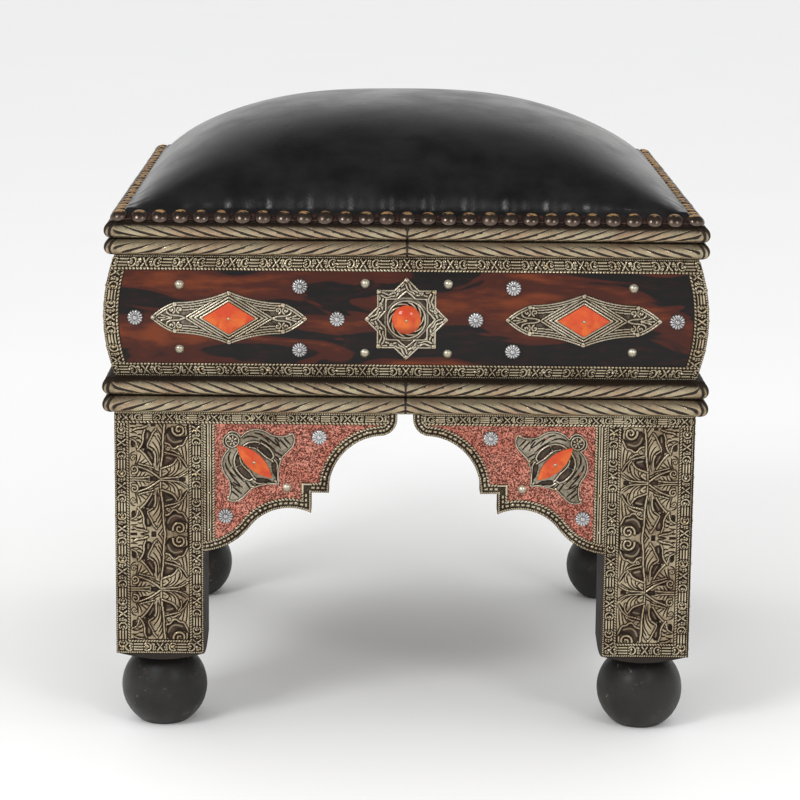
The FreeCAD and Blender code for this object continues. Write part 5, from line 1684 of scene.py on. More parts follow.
@dataclass(frozen=True)
class LeafWork:
    """The slanting mount round an almond stone: a lobe, two wings and a point."""

    middle: tuple
    length: float = 56.5
    half_width: float = 36.5
    slant: float = 43.5
    turns: tuple = ((-0.530, 0.000, 0.000), (-0.372, 0.190, -0.065), (-0.112, 0.655, -0.085),
                    (0.096, 1.000, 0.040),
                    (0.240, 0.700, -0.045), (0.238, 0.480, 0.000), (0.466, 0.000, 0.030))

    def spot(self, along: float, across: float) -> tuple[float, float]:
        """A place on the leaf, along its slant and across it."""
        slant = math.radians(self.slant)
        return (self.middle[0] + along * math.cos(slant) + across * math.sin(slant),
                self.middle[1] - along * math.sin(slant) + across * math.cos(slant))

    def own(self, x: Places, z: Places) -> tuple[Places, Places]:
        """How far places lie along the leaf and across it.

        Args:
            x: How far right each place lies.
            z: How high it lies.

        Returns:
            The places along and across.
        """
        slant = math.radians(self.slant)
        dx, dz = x - self.middle[0], z - self.middle[1]
        return dx * math.cos(slant) - dz * math.sin(slant), dx * math.sin(slant) + dz * math.cos(slant)

    def half(self) -> Line:
        """One half of the outline in the leaf's own places, from its lobe to its point.

        Returns:
            The half outline.
        """
        made = [(self.turns[0][0] * self.length, 0.0)]
        for along, across, bow in self.turns[1:]:
            made += bowed(made[-1], (along * self.length, across * self.half_width), -bow * self.length)
        return made

    def outline(self) -> Line:
        """The whole outline as seen from the front."""
        half = self.half()
        return [self.spot(*point) for point in half] + [self.spot(a, -c) for a, c in half[-2:0:-1]]

    def relief(self, x: Places, z: Places) -> Relief:
        """The leaf's heights.

        Args:
            x: How far right each place lies.
            z: How high it lies.

        Returns:
            The relief.
        """
        along, across = self.own(x, z)
        across = np.abs(across)
        work = Relief(along, across, 0.46)
        border = gap_to(self.half(), along, across)[0]
        work.ink[:] = 0.34
        crescent = rounded([(-13.2, 4.2), (-12.6, 7.6), (-8.4, 12.0), (-2.6, 13.8), (3.2, 14.0), (7.2, 12.4),
                            (7.4, 10.9),
                            (5.4, 9.8), (2.6, 9.2), (-1.4, 9.5), (-6.4, 9.0), (-10.2, 6.0)], True, 1)
        slot = [(9.8, 10.0), (11.8, 10.6), (14.8, 8.6), (20.4, 2.2), (16.4, 3.4), (11.4, 6.9)]
        for outline in (crescent, slot):
            work.opening(outline, 0.08, 0.7)
        for line in (((-9.8, 19.0), (-3.6, 20.4), (1.4, 20.7), (6.1, 21.3)),
                     ((-0.4, 23.0), (3.8, 22.4), (7.2, 20.9)),
                     ((2.3, 25.6), (6.9, 25.4), (10.8, 25.0)), ((3.6, 28.8), (7.8, 28.4), (10.5, 28.5)),
                     ((5.9, 16.2), (10.2, 17.2), (13.7, 18.0)), ((8.9, 13.9), (13.2, 14.0), (17.0, 13.7)),
                     ((12.0, 12.3), (15.8, 11.2), (18.4, 9.8)), ((16.2, 8.4), (19.5, 5.8)),
                     ((-18.1, 7.6), (-16.9, 10.8), (-14.1, 13.4), (-10.3, 15.0)),
                     ((-14.8, 16.3), (-11.3, 18.6), (-7.1, 19.0), (-2.1, 18.6)),
                     ((-8.4, 15.2), (-2.5, 16.6), (1.7, 16.8), (5.2, 17.0)),
                     ((-3.0, 24.6), (0.4, 24.8), (3.4, 24.0))):
            work.groove(rounded(list(line)), 1.9, 0.34, 0.3)
        work.soft_ridge([(-14.4, 2.8), (-13.4, 8.0), (-8.6, 13.1), (-2.6, 14.9), (3.4, 15.1), (8.2, 13.0),
                         (8.2, 10.0)], 1.1, 0.9, 0.45)
        work.soft_ridge([(-10.2, 5.2), (-6.8, 8.0), (-1.3, 8.4), (3.2, 8.2), (7.0, 9.3), (10.6, 9.6)], 0.95,
                        0.85, 0.45)
        work.ridge([(-6.9, 12.8), (-5.5, 9.0)], 0.8, 0.7, 0.3)
        work.soft_ridge([(9.6, 11.4), (13.0, 11.2), (16.0, 8.6), (21.6, 2.2)], 0.9, 0.8, 0.45)
        work.ridge(arc((-23.2, 0.0), 4.9, 0, 180, 16), 0.9, 0.8, 0.45)
        for turn in (20, 70, 125, 170):
            away = math.radians(turn)
            work.ridge([(-23.2, 0.0), (-23.2 + 3.4 * math.cos(away), 3.4 * math.sin(away))], 1.1, 0.7, 0.45)
        work.dot((-23.2, 0.0), 0.9, 0.9, 0.45)
        work.ridge([(21.4, 0.0), (25.0, 0.0)], 0.9, 0.6, 0.45)
        work.x, work.y = x, z
        work.rim(border - 0.6, 0.8, 0.7, 0.45)
        return work


# Sub-assemblies

@dataclass
class LegMetal:
    """The embossed panels of the legs and the strips round them."""

    layout: Layout
    finishes: Finishes
    strip_width: float = 10.8
    top_strip: float = 9.0
    lap: float = 1.2
    panel_step: float = 0.56
    strip_step: float = 0.54
    panel_ground: float = 0.36
    strip_ground: float = 0.30

    def panel(self, outer: float) -> Plate:
        """The embossed panel of a left leg whose outer strip ends at outer.

        Args:
            outer: How far out the outer strip ends.

        Returns:
            The panel.
        """
        lay = self.layout
        left, right = -outer + self.strip_width, -lay.leg_inner - self.strip_width
        low, high = lay.metal_low + self.strip_width, lay.leg_top - self.top_strip
        vine = Vine(left, high, right - left)
        window = Window(left - self.lap, right + self.lap, low - self.lap, high + self.lap,
                        self.panel_step)

        def chase(x: Places, z: Places) -> Relief:
            """The panel's relief, sunk where the strips lie over it.

            Args:
                x: How far right each place lies.
                z: How high it lies.

            Returns:
                The relief.
            """
            work = vine.relief(x, z)
            margin = np.minimum(np.minimum(x - left, right - x), np.minimum(z - low, high - z))
            share = eased(margin, -0.1, 1.1)
            work.height = work.height * share + 0.35 * (1 - share)
            return work

        return cut_plate(window, chase, upright(lay.wood_face), 0.05, ground=self.panel_ground)

    def strips(self, outer: float) -> list[Plate]:
        """The two uprights and the bottom strip of a left leg whose outer edge lies at outer.

        Args:
            outer: How far out the outer edge lies.

        Returns:
            The three strips.
        """
        lay = self.layout
        wide = self.strip_width
        stamp = Stamping(wide, inner_pitch=2.1)
        top = lay.leg_top - self.top_strip
        low = lay.metal_low
        inner = lay.leg_inner
        put = upright(lay.sheet_face)
        floor = lay.wood_face - lay.sheet_face
        left = edge_of([(-outer, low), (-outer + wide, low + wide), (-outer + wide, top), (-outer, top)])
        right = edge_of([(-inner, low), (-inner, top), (-inner - wide, top), (-inner - wide, low + wide)])
        foot = edge_of([(-outer, low), (-inner, low), (-inner - wide, low + wide),
                        (-outer + wide, low + wide)])
        pieces = (
            (Window(-outer, -outer + wide, low, top, self.strip_step), left,
             lambda x, z: stamp.relief(top - 15.0 - z, x + outer)),
            (Window(-inner - wide, -inner, low, top, self.strip_step), right,
             lambda x, z: stamp.relief(top - 4.0 - z, -inner - x)),
            (Window(-outer, -inner, low, low + wide, self.strip_step), foot,
             lambda x, z: stamp.relief(x + (outer + inner) / 2, z - low)),
        )
        return [cut_plate(window, chase, put, floor, edge, self.strip_ground)
                for window, edge, chase in pieces]

    def build(self) -> None:
        """Makes the panels and strips of the four legs."""
        lay = self.layout
        panels = [self.panel(lay.leg_face), self.panel(lay.sheet_face)]
        strips = [self.strips(lay.leg_face), self.strips(lay.sheet_face)]
        for turns, corner in enumerate(CORNERS):
            skin = Skin(fold=90.0).add(panels[0], turns).add(panels[1], turns - 1, True)
            skin.build("leg_panels_" + corner, self.finishes.panel, "embossed_panel", "leg_sheet_" + corner)
            skin = Skin()
            for plate in strips[0]:
                skin.add(plate, turns)
            for plate in strips[1]:
                skin.add(plate, turns - 1, True)
            skin.build("leg_borders_" + corner, self.finishes.strip, "stamped_strip", "leg_strips_" + corner)


@dataclass
class ArchMetal:
    """The scalloped edging and strips of the brackets, and the slanting leaf mounts."""

    layout: Layout
    finishes: Finishes
    edging_width: float = 7.6
    strip_width: float = 9.0
    leaf_place: tuple = (0.265, 0.349)
    strip_step: float = 0.58
    leaf_step: float = 0.5
    turns: tuple = ((1.000, 0.046, 0.000), (0.929, 0.157, 0.024), (0.650, 0.570, -0.118),
                    (0.558, 0.570, 0.000), (0.558, 0.717, 0.000), (0.245, 0.812, -0.076),
                    (0.000, 1.000, 0.042))

    def spot(self, reach: float, drop: float) -> tuple[float, float]:
        """A place on the left bracket from its shares of reach and drop."""
        lay = self.layout
        return (-lay.leg_inner + (lay.leg_inner - lay.nose) * reach,
                lay.leg_top - (lay.leg_top - lay.toe) * drop)

    def scallop(self) -> Line:
        """The scalloped edge from the nose to the toe.

        Returns:
            The edge's points.
        """
        drop = self.layout.leg_top - self.layout.toe
        made = [self.spot(1.0, 0.0)]
        for reach, down, bow in self.turns:
            made += bowed(made[-1], self.spot(reach, down), bow * drop)
        return made

    def strips(self, outer: float) -> list[Plate]:
        """The edging, the upright by the leg and the strip under the rail, which runs on to outer.

        Args:
            outer: How far out the rail's strip ends.

        Returns:
            The edging, the upright and the rail's strip.
        """
        lay = self.layout
        scallop = self.scallop()
        board = edge_of([self.spot(0.0, 0.0)] + scallop)
        put = upright(lay.sheet_face)
        floor = lay.wood_face - lay.sheet_face
        wide, edging = self.strip_width, self.edging_width
        inner, nose = lay.leg_inner, lay.nose

        def border(x: Places, z: Places) -> Places:
            """The band along the scallop."""
            return np.maximum(board(x, z), self._along(scallop, x, z)[0] - edging)

        def border_work(x: Places, z: Places) -> Relief:
            """The edging's relief."""
            gap, run = self._along(scallop, x, z)
            return PearlStamping(edging).relief(run, gap)

        post = edge_of([(-inner, lay.toe), (-inner + wide, lay.toe), (-inner + wide, lay.leg_top - wide),
                        (-inner, lay.leg_top - wide)])
        rail = edge_of([(-outer, lay.leg_top - wide), (-nose, lay.leg_top - wide), (-nose, lay.leg_top),
                        (-outer, lay.leg_top)])
        free = self._free(scallop)
        bars = BarStamping(wide)
        stamp = Stamping(wide)
        pieces = (
            (Window(-inner, -nose, lay.toe, lay.leg_top, self.strip_step), border, border_work),
            (Window(-inner, -inner + wide, lay.toe, lay.leg_top - wide, self.strip_step),
             lambda x, z: np.maximum(post(x, z), free(x, z)), lambda x, z: bars.relief(z, x + inner)),
            (Window(-outer, -nose, lay.leg_top - wide, lay.leg_top, self.strip_step),
             lambda x, z: np.maximum(rail(x, z), free(x, z)),
             lambda x, z: stamp.relief(x + 10.0, lay.leg_top - z)),
        )
        return [cut_plate(window, chase, put, floor, edge) for window, edge, chase in pieces]

    def _along(self, scallop: Line, x: Places, z: Places) -> tuple[Places, Places]:
        """How far places lie from the scallop and along it, square at the step's inner corner.

        Args:
            scallop: The scalloped edge.
            x: How far right each place lies.
            z: How high it lies.

        Returns:
            The distances, and the runs along the edge.
        """
        gap, run = gap_to(scallop, x, z)
        corner = self.spot(*self.turns[3][:2])
        left, above = corner[0] - x, z - corner[1]
        square = (left > 0) & (above > 0) & (np.abs(np.hypot(left, above) - gap) < 1e-6)
        return np.where(square, np.maximum(left, above), gap), run

    def _free(self, scallop: Line) -> Signed:
        """The part of the bracket that the edging leaves free."""
        return lambda x, z: self.edging_width + 0.1 - self._along(scallop, x, z)[0]

    def build(self) -> None:
        """Makes the edging of the four sides and the eight leaves."""
        lay = self.layout
        sets = [self.strips(lay.leg_face), self.strips(lay.sheet_face)]
        leaf = LeafWork(self.spot(*self.leaf_place))
        plate = cut_plate(window_round(leaf.outline(), 0.3, self.leaf_step), leaf.relief,
                          upright(lay.sheet_face), 0.0, edge_of(leaf.outline()))
        leaves = Skin(fold=80.0)
        for turns, side in enumerate(SIDES):
            skin = Skin()
            for mirror in (False, True):
                for piece in sets[mirror]:
                    skin.add(piece, turns, mirror)
                leaves.add(plate, turns, mirror)
            skin.build("arch_borders_" + side, self.finishes.strip, "stamped_strip", "arch_edging_" + side)
        leaves.build("leaf_mounts_chased", self.finishes.mount, "mount_metal", "leaf_mounts")


@dataclass
class FriezeMetal:
    """The strips round the frieze boards, and the star and lozenge mounts on them."""

    layout: Layout
    finishes: Finishes
    strip_width: float = 11.0
    star_margin: float = 3.65
    lozenge_place: float = 0.607
    lozenge_length: float = 0.539
    lozenge_height: float = 41.0
    strip_step: float = 0.55
    mount_step: float = 0.5

    def put(self, x: Places, z: Places, height: Places) -> Places:
        """Puts places on the frieze's bulge."""
        return np.stack([x, -self.layout.bulge_out(z, self.layout.board_radius + height), z], axis=1)

    def level_strip(self, low: float, upward: bool) -> Plate:
        """The left half of a level strip, mitred at the corner.

        Args:
            low: The strip's lower level.
            upward: Whether its outer edge is the lower one.

        Returns:
            The strip.
        """
        lay = self.layout
        wide = self.strip_width
        stamp = Stamping(wide)
        reach = lay.strip_reach

        def put(x: Places, z: Places, height: Places) -> Places:
            """Stretches the strip to the mitre at each height."""
            points = self.put(x, z, height)
            points[:, 0] = -points[:, 1] * x / reach
            return points

        def chase(x: Places, z: Places) -> Relief:
            """The strip's relief, its scrolls standing on its inner border."""
            across = z - low if upward else low + wide - z
            return stamp.relief(x, across)

        return cut_plate(Window(-reach, 0.0, low, low + wide, self.strip_step), chase, put, 0.0)

    def end_strip(self) -> Plate:
        """The curved upright at the left end.

        Returns:
            The strip.
        """
        lay = self.layout
        wide = self.strip_width
        stamp = Stamping(wide)
        low, high = lay.frieze_low + wide, lay.frieze_top - wide

        def put(x: Places, z: Places, height: Places) -> Places:
            """Measures x from the mitre."""
            points = self.put(x, z, height)
            points[:, 0] += points[:, 1]
            return points

        return cut_plate(Window(0.0, wide, low, high, self.strip_step),
                         lambda x, z: stamp.relief(z - lay.frieze_middle, x), put, 0.0)

    def mount(self, work: StarWork | LozengeWork) -> Plate:
        """A mount cut and chased on the bulge.

        Args:
            work: The star or lozenge.

        Returns:
            The mount.
        """
        window = window_round(work.outline(), 0.2, self.mount_step)
        return cut_plate(window, work.relief, self.put, 0.0, edge_of(work.outline()))

    def build(self) -> None:
        """Makes the strips side by side, the four stars and the eight lozenges."""
        lay = self.layout
        plates = [self.level_strip(lay.frieze_low, True),
                  self.level_strip(lay.frieze_top - self.strip_width, False),
                  self.end_strip()]
        for turns, side in enumerate(SIDES):
            skin = Skin()
            for mirror in (False, True):
                for plate in plates:
                    skin.add(plate, turns, mirror)
            skin.build("frieze_borders_" + side, self.finishes.strip, "stamped_strip", "frieze_strips")
        tip = lay.frieze_half - self.strip_width - self.star_margin
        star = StarWork(lay.frieze_middle, tip, tip * 0.494, tip * 0.652)
        lozenge = LozengeWork(lay.sheet_face * self.lozenge_place, lay.frieze_middle,
                              lay.sheet_face * self.lozenge_length, self.lozenge_height)
        star_plate, lozenge_plate = self.mount(star), self.mount(lozenge)
        stars, lozenges = Skin(fold=70.0), Skin(fold=125.0)
        for turns in range(len(SIDES)):
            stars.add(star_plate, turns)
            lozenges.add(lozenge_plate, turns).add(lozenge_plate, turns, True)
        stars.build("star_mounts_chased", self.finishes.mount, "mount_metal", "star_mounts")
        lozenges.build("lozenge_mounts_chased", self.finishes.mount, "mount_metal", "lozenge_mounts")


@dataclass
class RopeMoulding:
    """Two rope-fluted beads over a rail, mirrored at the middle of each side."""

    layout: Layout
    finishes: Finishes
    pitch: float = 14.7
    slant: float = 47.0
    depth: float = 1.5
    step: float = 0.62
    plain_end: float = 8.0
    end_ribs: tuple = (0.4, 3.6)
    rib_width: float = 0.62
    seam_width: float = 0.7
    seam_depth: float = 0.95

    def bead(self, reach: float, low: float, high: float, upper: bool) -> Plate:
        """The left half of one bead of a rail.

        Args:
            reach: How far out the beads stand.
            low: The rail's lower level.
            high: Its upper level.
            upper: Whether it is the upper bead of the two.

        Returns:
            The bead, with the flat tail by which it is fixed.
        """
        radius = (high - low) / 4
        core = reach - radius
        middle = (low + high) / 2 + (radius if upper else -radius)
        run, angle = np.meshgrid(np.linspace(0.0, core, round(core / self.step)),
                                 np.radians(np.linspace(-90, 90, 37)), indexing="ij")
        shear = self.slant * (1 - eased(run, core - 14, core - 1) * 0.9)
        phase = (run + (-shear if upper else shear) * angle / np.pi) / self.pitch + 0.5
        near = phase - np.round(phase)
        thick = eased(angle, 0.95, -0.75) ** 1.3
        wide = 0.032 + 0.105 * thick
        window = eased(angle, -0.95, -0.72) * (1 - eased(angle, 0.40, 1.05))
        cut = np.exp(-(near / wide) ** 2) * window * (0.55 + 0.45 * thick)
        side = -1.0 if upper else 1.0
        lip_and_highlight = np.exp(-((near - side * wide * 2.1) / (wide * 1.1)) ** 2) * window
        strand = np.abs(2 * near) ** 1.3
        fade = np.clip(np.cos(angle), 0, 1) ** 0.35
        dents = 0.10 * np.sin(run * 0.71 + 3 * angle) * np.sin(run * 0.23 + 1.3)
        sunk = fade * (self.depth * cut + 0.42 - 0.42 * lip_and_highlight * (1 - cut)
                       + 0.16 * (1 - strand) * window + dents)
        seam = np.exp(-(run / self.seam_width) ** 2)
        ribs = sum(np.exp(-((run - core + place + 1.2 * np.sin(angle)) / self.rib_width) ** 2)
                   for place in self.end_ribs)
        fluted = 1 - eased(run, core - self.plain_end, core - self.plain_end + 3)
        cut = np.maximum(cut * fluted, ribs)
        sunk = np.maximum(sunk * fluted, np.minimum(ribs, 1.0) * 1.1 * fade + 0.2)
        sunk = np.maximum(sunk, seam * self.seam_depth * fade)
        size = np.maximum(radius - np.maximum(sunk, 0.0), 0.1)
        out = size * np.cos(angle)
        x = -(run + out * np.clip((run - core + 30) / 30, 0, 1))
        points = np.stack([x, -(core + out), middle + size * np.sin(angle)], axis=2)
        # Painted shade: the bead is darkened towards its top and bottom edges, where it turns in towards the
        # rail.
        rim = eased(np.abs(angle), 1.10, 1.5)
        grime = eased(angle, 0.0, 1.1) * (0.60 if upper else 0.26) + eased(run, core - 25, core) * 0.14
        # Besides standing out, the lip beside each cut is painted lighter as a painted highlight.
        patina = np.clip(0.16 + grime + cut * 1.2 + rim * 0.8 + seam * 0.8 - lip_and_highlight * 0.3, 0, 1)
        tuck = np.array([(core - 1.2 - radius * 0.2) / core] * 2 + [1.0])
        points = np.concatenate([points[:, :1] * tuck, points, points[:, -1:] * tuck], axis=1)
        return net_plate(points, np.pad(patina, ((0, 0), (1, 1)), constant_values=1.0), flip=True)

    def build(self) -> None:
        """Makes the beads of both rails, side by side."""
        lay = self.layout
        rails = (("lower_rope", lay.lower_reach, lay.leg_top, lay.frieze_low, "lower_rope_skins"),
                 ("upper_rope", lay.upper_reach, lay.frieze_top, lay.rope_top, "upper_rope_skins"))
        for name, reach, low, high, node in rails:
            plates = [self.bead(reach, low, high, upper) for upper in (False, True)]
            for turns, side in enumerate(SIDES):
                skin = Skin(fold=60.0)
                for plate in plates:
                    skin.add(plate, turns).add(plate, turns, True)
                skin.build(name + "_" + side, self.finishes.rope, "rope_metal", node)


@dataclass
class Cushion:
    """The stuffed leather crown, nailed down all round."""

    layout: Layout
    finishes: Finishes
    nails: int = 28
    side_power: float = 2.56
    side_rounding: float = 1.40
    front_power: float = 2.2
    front_rounding: float = 1.75
    tilt: float = 3.0
    edge_rise: float = 2.5
    leather: float = 1.4
    bevel_run: float = 10.0
    bevel_rise: float = 7.0
    pucker: float = 0.75
    pucker_reach: float = 5.5
    lean: float = 0.07
    dip: float = 0.5
    overlap: float = 3.0
    blend: float = 1.6
    crowding: float = 1.35
    count: int = 260

    @staticmethod
    def _share(place: Places, power: float, rounding: float) -> Places:
        """The crown's height at a place, as a share of its rise."""
        return np.maximum(0.0, 1 - np.abs(place) ** power) ** (1 / rounding)

    def surface(self) -> tuple[Places, Places]:
        """The cover's points and how near each is to the raw edge.

        Returns:
            The points, and the mask of the raw edge.
        """
        lay = self.layout
        half = lay.leather_edge + 0.4 - self.bevel_run
        edge = lay.leather_edge
        rise = lay.crown_top - lay.frame_top
        even = np.linspace(-1, 1, self.count)
        spaced = np.sign(even) * (1 - (1 - np.abs(even)) ** self.crowding)
        x, y = np.meshgrid(spaced * edge, spaced * edge, indexing="ij")
        u, v = np.clip(x / half, -1, 1), np.clip(y / half, -1, 1)
        over = self._share(u + self.lean * (1 - u * u), self.side_power, self.side_rounding)
        deep = self._share(v, self.front_power, self.front_rounding)
        crown = (self.edge_rise + (rise - self.edge_rise) * deep + self.tilt * u) * over
        out = np.maximum(np.abs(x), np.abs(y))
        beyond = np.maximum(out - half, 0)
        crown = lay.frame_top + crown - self.overlap * beyond
        slope = self.bevel_rise / self.bevel_run
        margin = lay.frame_top + self.leather * 1.22 - beyond * slope
        z = (crown + margin + np.sqrt((crown - margin) ** 2 + self.blend ** 2)) / 2
        z = np.where(out < half - 12, crown, z)
        points = np.stack([x, y, z], axis=2)
        normal = np.cross(np.gradient(points, axis=0), np.gradient(points, axis=1))
        normal /= np.linalg.norm(normal, axis=2, keepdims=True)
        seat = lay.leather_edge + 0.4 - self.bevel_run / 2
        pitch = 2 * seat / self.nails
        gap = half - out
        run = np.where(np.abs(x) > np.abs(y), y, x)
        wave = np.cos(2 * np.pi * (run + seat) / pitch)
        close = np.exp(-np.maximum(gap, 0) / self.pucker_reach) * eased(gap, -8.0, -1.0)
        corner = eased(np.abs(run), edge - 16, edge - 4)
        own = 0.7 + 0.3 * np.sin(run * 0.21 + np.sign(x + y) * 1.7)
        points -= normal * (self.pucker * close * (0.2 + 0.8 * wave) * (1 - corner) * own)[:, :, None]
        dips = np.sin(x * 0.019 + 0.8) * np.sin(y * 0.023 - 0.5) + 0.5 * np.sin(x * 0.041 - y * 0.033)
        points[:, :, 2] += self.dip * dips * eased(gap, 4.0, 60.0)
        raw = eased(-gap, 0.5, 6.0)
        return points, raw

    def build(self) -> None:
        """Makes the cushion, which stands for the leather and its stuffing."""
        lay = self.layout
        points, raw = self.surface()
        skin = Skin(fold=1000.0)
        skin.add(net_plate(points, raw, flip=False))
        rim = np.concatenate([points[:-1, 0], points[-1, :-1], points[:0:-1, -1], points[0, ::-1]])
        under = rim.copy()
        under[:, 2] = np.maximum(under[:, 2] - self.leather, lay.rope_top + 0.05)
        tucked = under.copy()
        tucked[:, :2] *= (lay.leather_edge - 3.0) / lay.leather_edge
        band = np.stack([rim, under, tucked], axis=0)
        skin.add(net_plate(band, np.ones(band.shape[:2]), flip=False))
        made = skin.build("leather_crown", self.finishes.leather, "black_leather", "leather_cover",
                          "seat_padding")


@dataclass
class CoverNails:
    """The domed nails that hold the leather down all round, each a little different."""

    layout: Layout
    finishes: Finishes
    count: int = 28
    radius: float = 6.9
    rise: float = 4.0
    lower: float = 1.5
    lean: float = 0.85
    leather: float = 1.4
    bevel_run: float = 10.0
    bevel_rise: float = 7.0

    def head(self) -> Places:
        """A head's points: across, along and out.

        Returns:
            The points, ring by ring.
        """
        share = np.array([0.0, 0.2, 0.38, 0.54, 0.68, 0.8, 0.89, 0.96, 1.0, 1.02, 1.0])
        share, turn = np.meshgrid(share, np.linspace(0, 2 * np.pi, 25), indexing="ij")
        out = self.rise * np.clip(1 - share ** 2.1, 0, None) ** 0.72
        out[-2:] = [[-0.3], [-2.0]]
        return np.stack([self.radius * share * np.cos(turn), self.radius * share * np.sin(turn), out], axis=2)

    def build(self) -> None:
        """Makes all the heads, from the left corner of each side to the last before the right one."""
        lay = self.layout
        head = self.head()
        slope = math.hypot(self.bevel_run, self.bevel_rise)
        outward, upward = self.bevel_rise / slope, self.bevel_run / slope
        middle = lay.leather_edge + 0.4 - self.bevel_run / 2
        seat = middle + self.leather * outward
        level = (lay.rope_top + lay.frame_top) / 2 + self.leather * upward
        chance = np.random.default_rng(11)
        skin = Skin(fold=40.0)
        grid = np.arange(head[:, :, 0].size).reshape(head.shape[:2])
        flat = head[:, :, :2] * (1 + 0.14 * (grid >= grid[-2, 0]))[:, :, None]
        for turns in range(len(SIDES)):
            for step in range(self.count):
                if step:
                    place = np.array([seat * (2 * step / self.count - 1), -seat, level])
                    out = np.array([0.0, -outward * self.lean, upward])
                else:
                    place = np.array([-middle, -middle, level + 0.3])
                    out = np.array([-outward * self.lean, -outward * self.lean, upward * 2])
                down = np.array([0.0 if step else -upward, -upward, -outward])
                out = out / np.linalg.norm(out) + chance.uniform(-0.06, 0.06, 3)
                out /= np.linalg.norm(out)
                across = np.cross([0.0, 1.0, 0.3], out)
                across /= np.linalg.norm(across)
                along = np.cross(out, across)
                size = chance.uniform(0.95, 1.03)
                points = size * (head[:, :, :1] * across + head[:, :, 1:2] * along + head[:, :, 2:] * out)
                plate = net_plate(points + place + down * self.lower, np.zeros(head.shape[:2]), flat)
                skin.add(plate, turns)
        skin.build("cover_nail_heads", self.finishes.bronze_nail, "bronze_nail", "cover_nails")


@dataclass
class Rosettes:
    """Flower-headed nails in the frieze and the arches."""

    layout: Layout
    finishes: Finishes
    radius: float = 5.9
    rise: float = 2.9
    petals: int = 14
    boss: float = 0.30
    dent: float = 0.34
    frieze_places: tuple = ((0.237, 0.0), (0.927, 0.0), (0.365, 24.0), (0.365, -24.0))
    arch_places: tuple = ((0.599, 0.171), (0.116, 0.743))

    def head(self) -> tuple[Places, Places]:
        """The head's points, across, along and out, with its patina.

        Returns:
            The points ring by ring, and the patina.
        """
        turn = np.linspace(0, 2 * np.pi, self.petals * 6 + 1)
        share = np.array([0.0, 0.14, 0.24, 0.31, 0.38, 0.5, 0.62, 0.74, 0.85, 0.94, 1.0, 1.0])
        share, turn = np.meshgrid(share, turn, indexing="ij")
        petal = 0.5 + 0.5 * np.cos(turn * self.petals)
        reach = self.radius * share * (1 - 0.07 * (1 - petal) * eased(share, 0.6, 1.0))
        bowl = self.rise * (0.24 + 0.56 * np.sqrt(np.clip(1 - share ** 2.2, 0, None)))
        lobes = 0.34 * petal ** 0.45 * eased(share, 0.36, 0.6)
        boss = self.rise * 0.30 * domed(share, self.boss)
        dented = np.exp(-((share - self.dent) / 0.05) ** 2)
        out = bowl + lobes + boss - 0.35 * dented
        out[-1] = 0.0
        gaps = eased(0.34 - petal, 0.0, 0.34) * eased(share, 0.34, 0.5) * (1 - 0.35 * eased(share, 0.8, 1.0))
        patina = np.clip(0.08 + 1.0 * gaps + 0.6 * dented, 0, 1)
        return np.stack([reach * np.cos(turn), reach * np.sin(turn), out], axis=2), patina

    def build(self) -> None:
        """Makes all the rosettes."""
        lay = self.layout
        head, patina = self.head()
        skin = Skin(fold=40.0)
        arch = ArchMetal(lay, self.finishes)
        for turns in range(len(SIDES)):
            for share, rise in self.frieze_places:
                z = lay.frieze_middle + rise
                tilt = math.asin(rise / lay.board_radius)
                seat = (-share * lay.sheet_face, -float(lay.bulge_out(np.array(z), lay.board_radius)), z)
                self._drive(skin, head, patina, seat, tilt, turns)
            for shares in self.arch_places:
                x, z = arch.spot(*shares)
                self._drive(skin, head, patina, (x, -lay.sheet_face, z), 0.0, turns)
        skin.build("rosette_heads", self.finishes.rosette, "bright_nail", "rosette_nails")

    @staticmethod
    def _drive(skin: Skin, head: Places, patina: Places, seat: tuple, tilt: float, turns: int) -> None:
        """Sets a head on the left half of a side and its twin on the right half.

        Args:
            skin: What gathers the heads.
            head: The head's points.
            patina: Its patina.
            seat: Where it sits.
            tilt: How far it leans up.
            turns: Quarter turns to its side.
        """
        up = np.array([0.0, math.sin(tilt), math.cos(tilt)])
        out = np.array([0.0, -math.cos(tilt), math.sin(tilt)])
        points = (head[:, :, :1] * np.array([1.0, 0, 0]) + head[:, :, 1:2] * up + head[:, :, 2:] * out
                  + np.array(seat))
        plate = net_plate(points, patina, head[:, :, :2])
        skin.add(plate, turns).add(plate, turns, True)


@dataclass
class Woodwork:
    """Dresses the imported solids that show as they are."""

    finishes: Finishes

    def build(self) -> None:
        """Gives every kept node its material."""
        own = self.finishes
        dress = {"seat_board": own.board, "seat_padding": own.cloth, "cover_nails": own.bronze_nail,
                 "dome_nails": own.bright_nail, "small_pins": own.pin, "round_stones": own.stone,
                 "diamond_stones": own.stone, "almond_stones": own.stone, "leather_cover": own.leather}
        for turns, side in enumerate(SIDES):
            level = own.wood_y if turns % 2 else own.wood_x
            dress["frieze_board_" + side] = own.figured_y if turns % 2 else own.figured_x
            dress["arch_copper_" + side] = own.copper
            for name in ("base_rail_%s", "top_rail_%s", "arch_bracket_%s_left", "arch_bracket_%s_right"):
                dress[name % side] = level
        for corner in CORNERS:
            dress["leg_" + corner] = own.wood_up
            dress["foot_" + corner] = own.foot
        for node, finish in dress.items():
            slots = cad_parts[node].data.materials
            slots.clear()
            slots.append(finish)
        LOG.info("dressed %d packed nodes", len(dress))


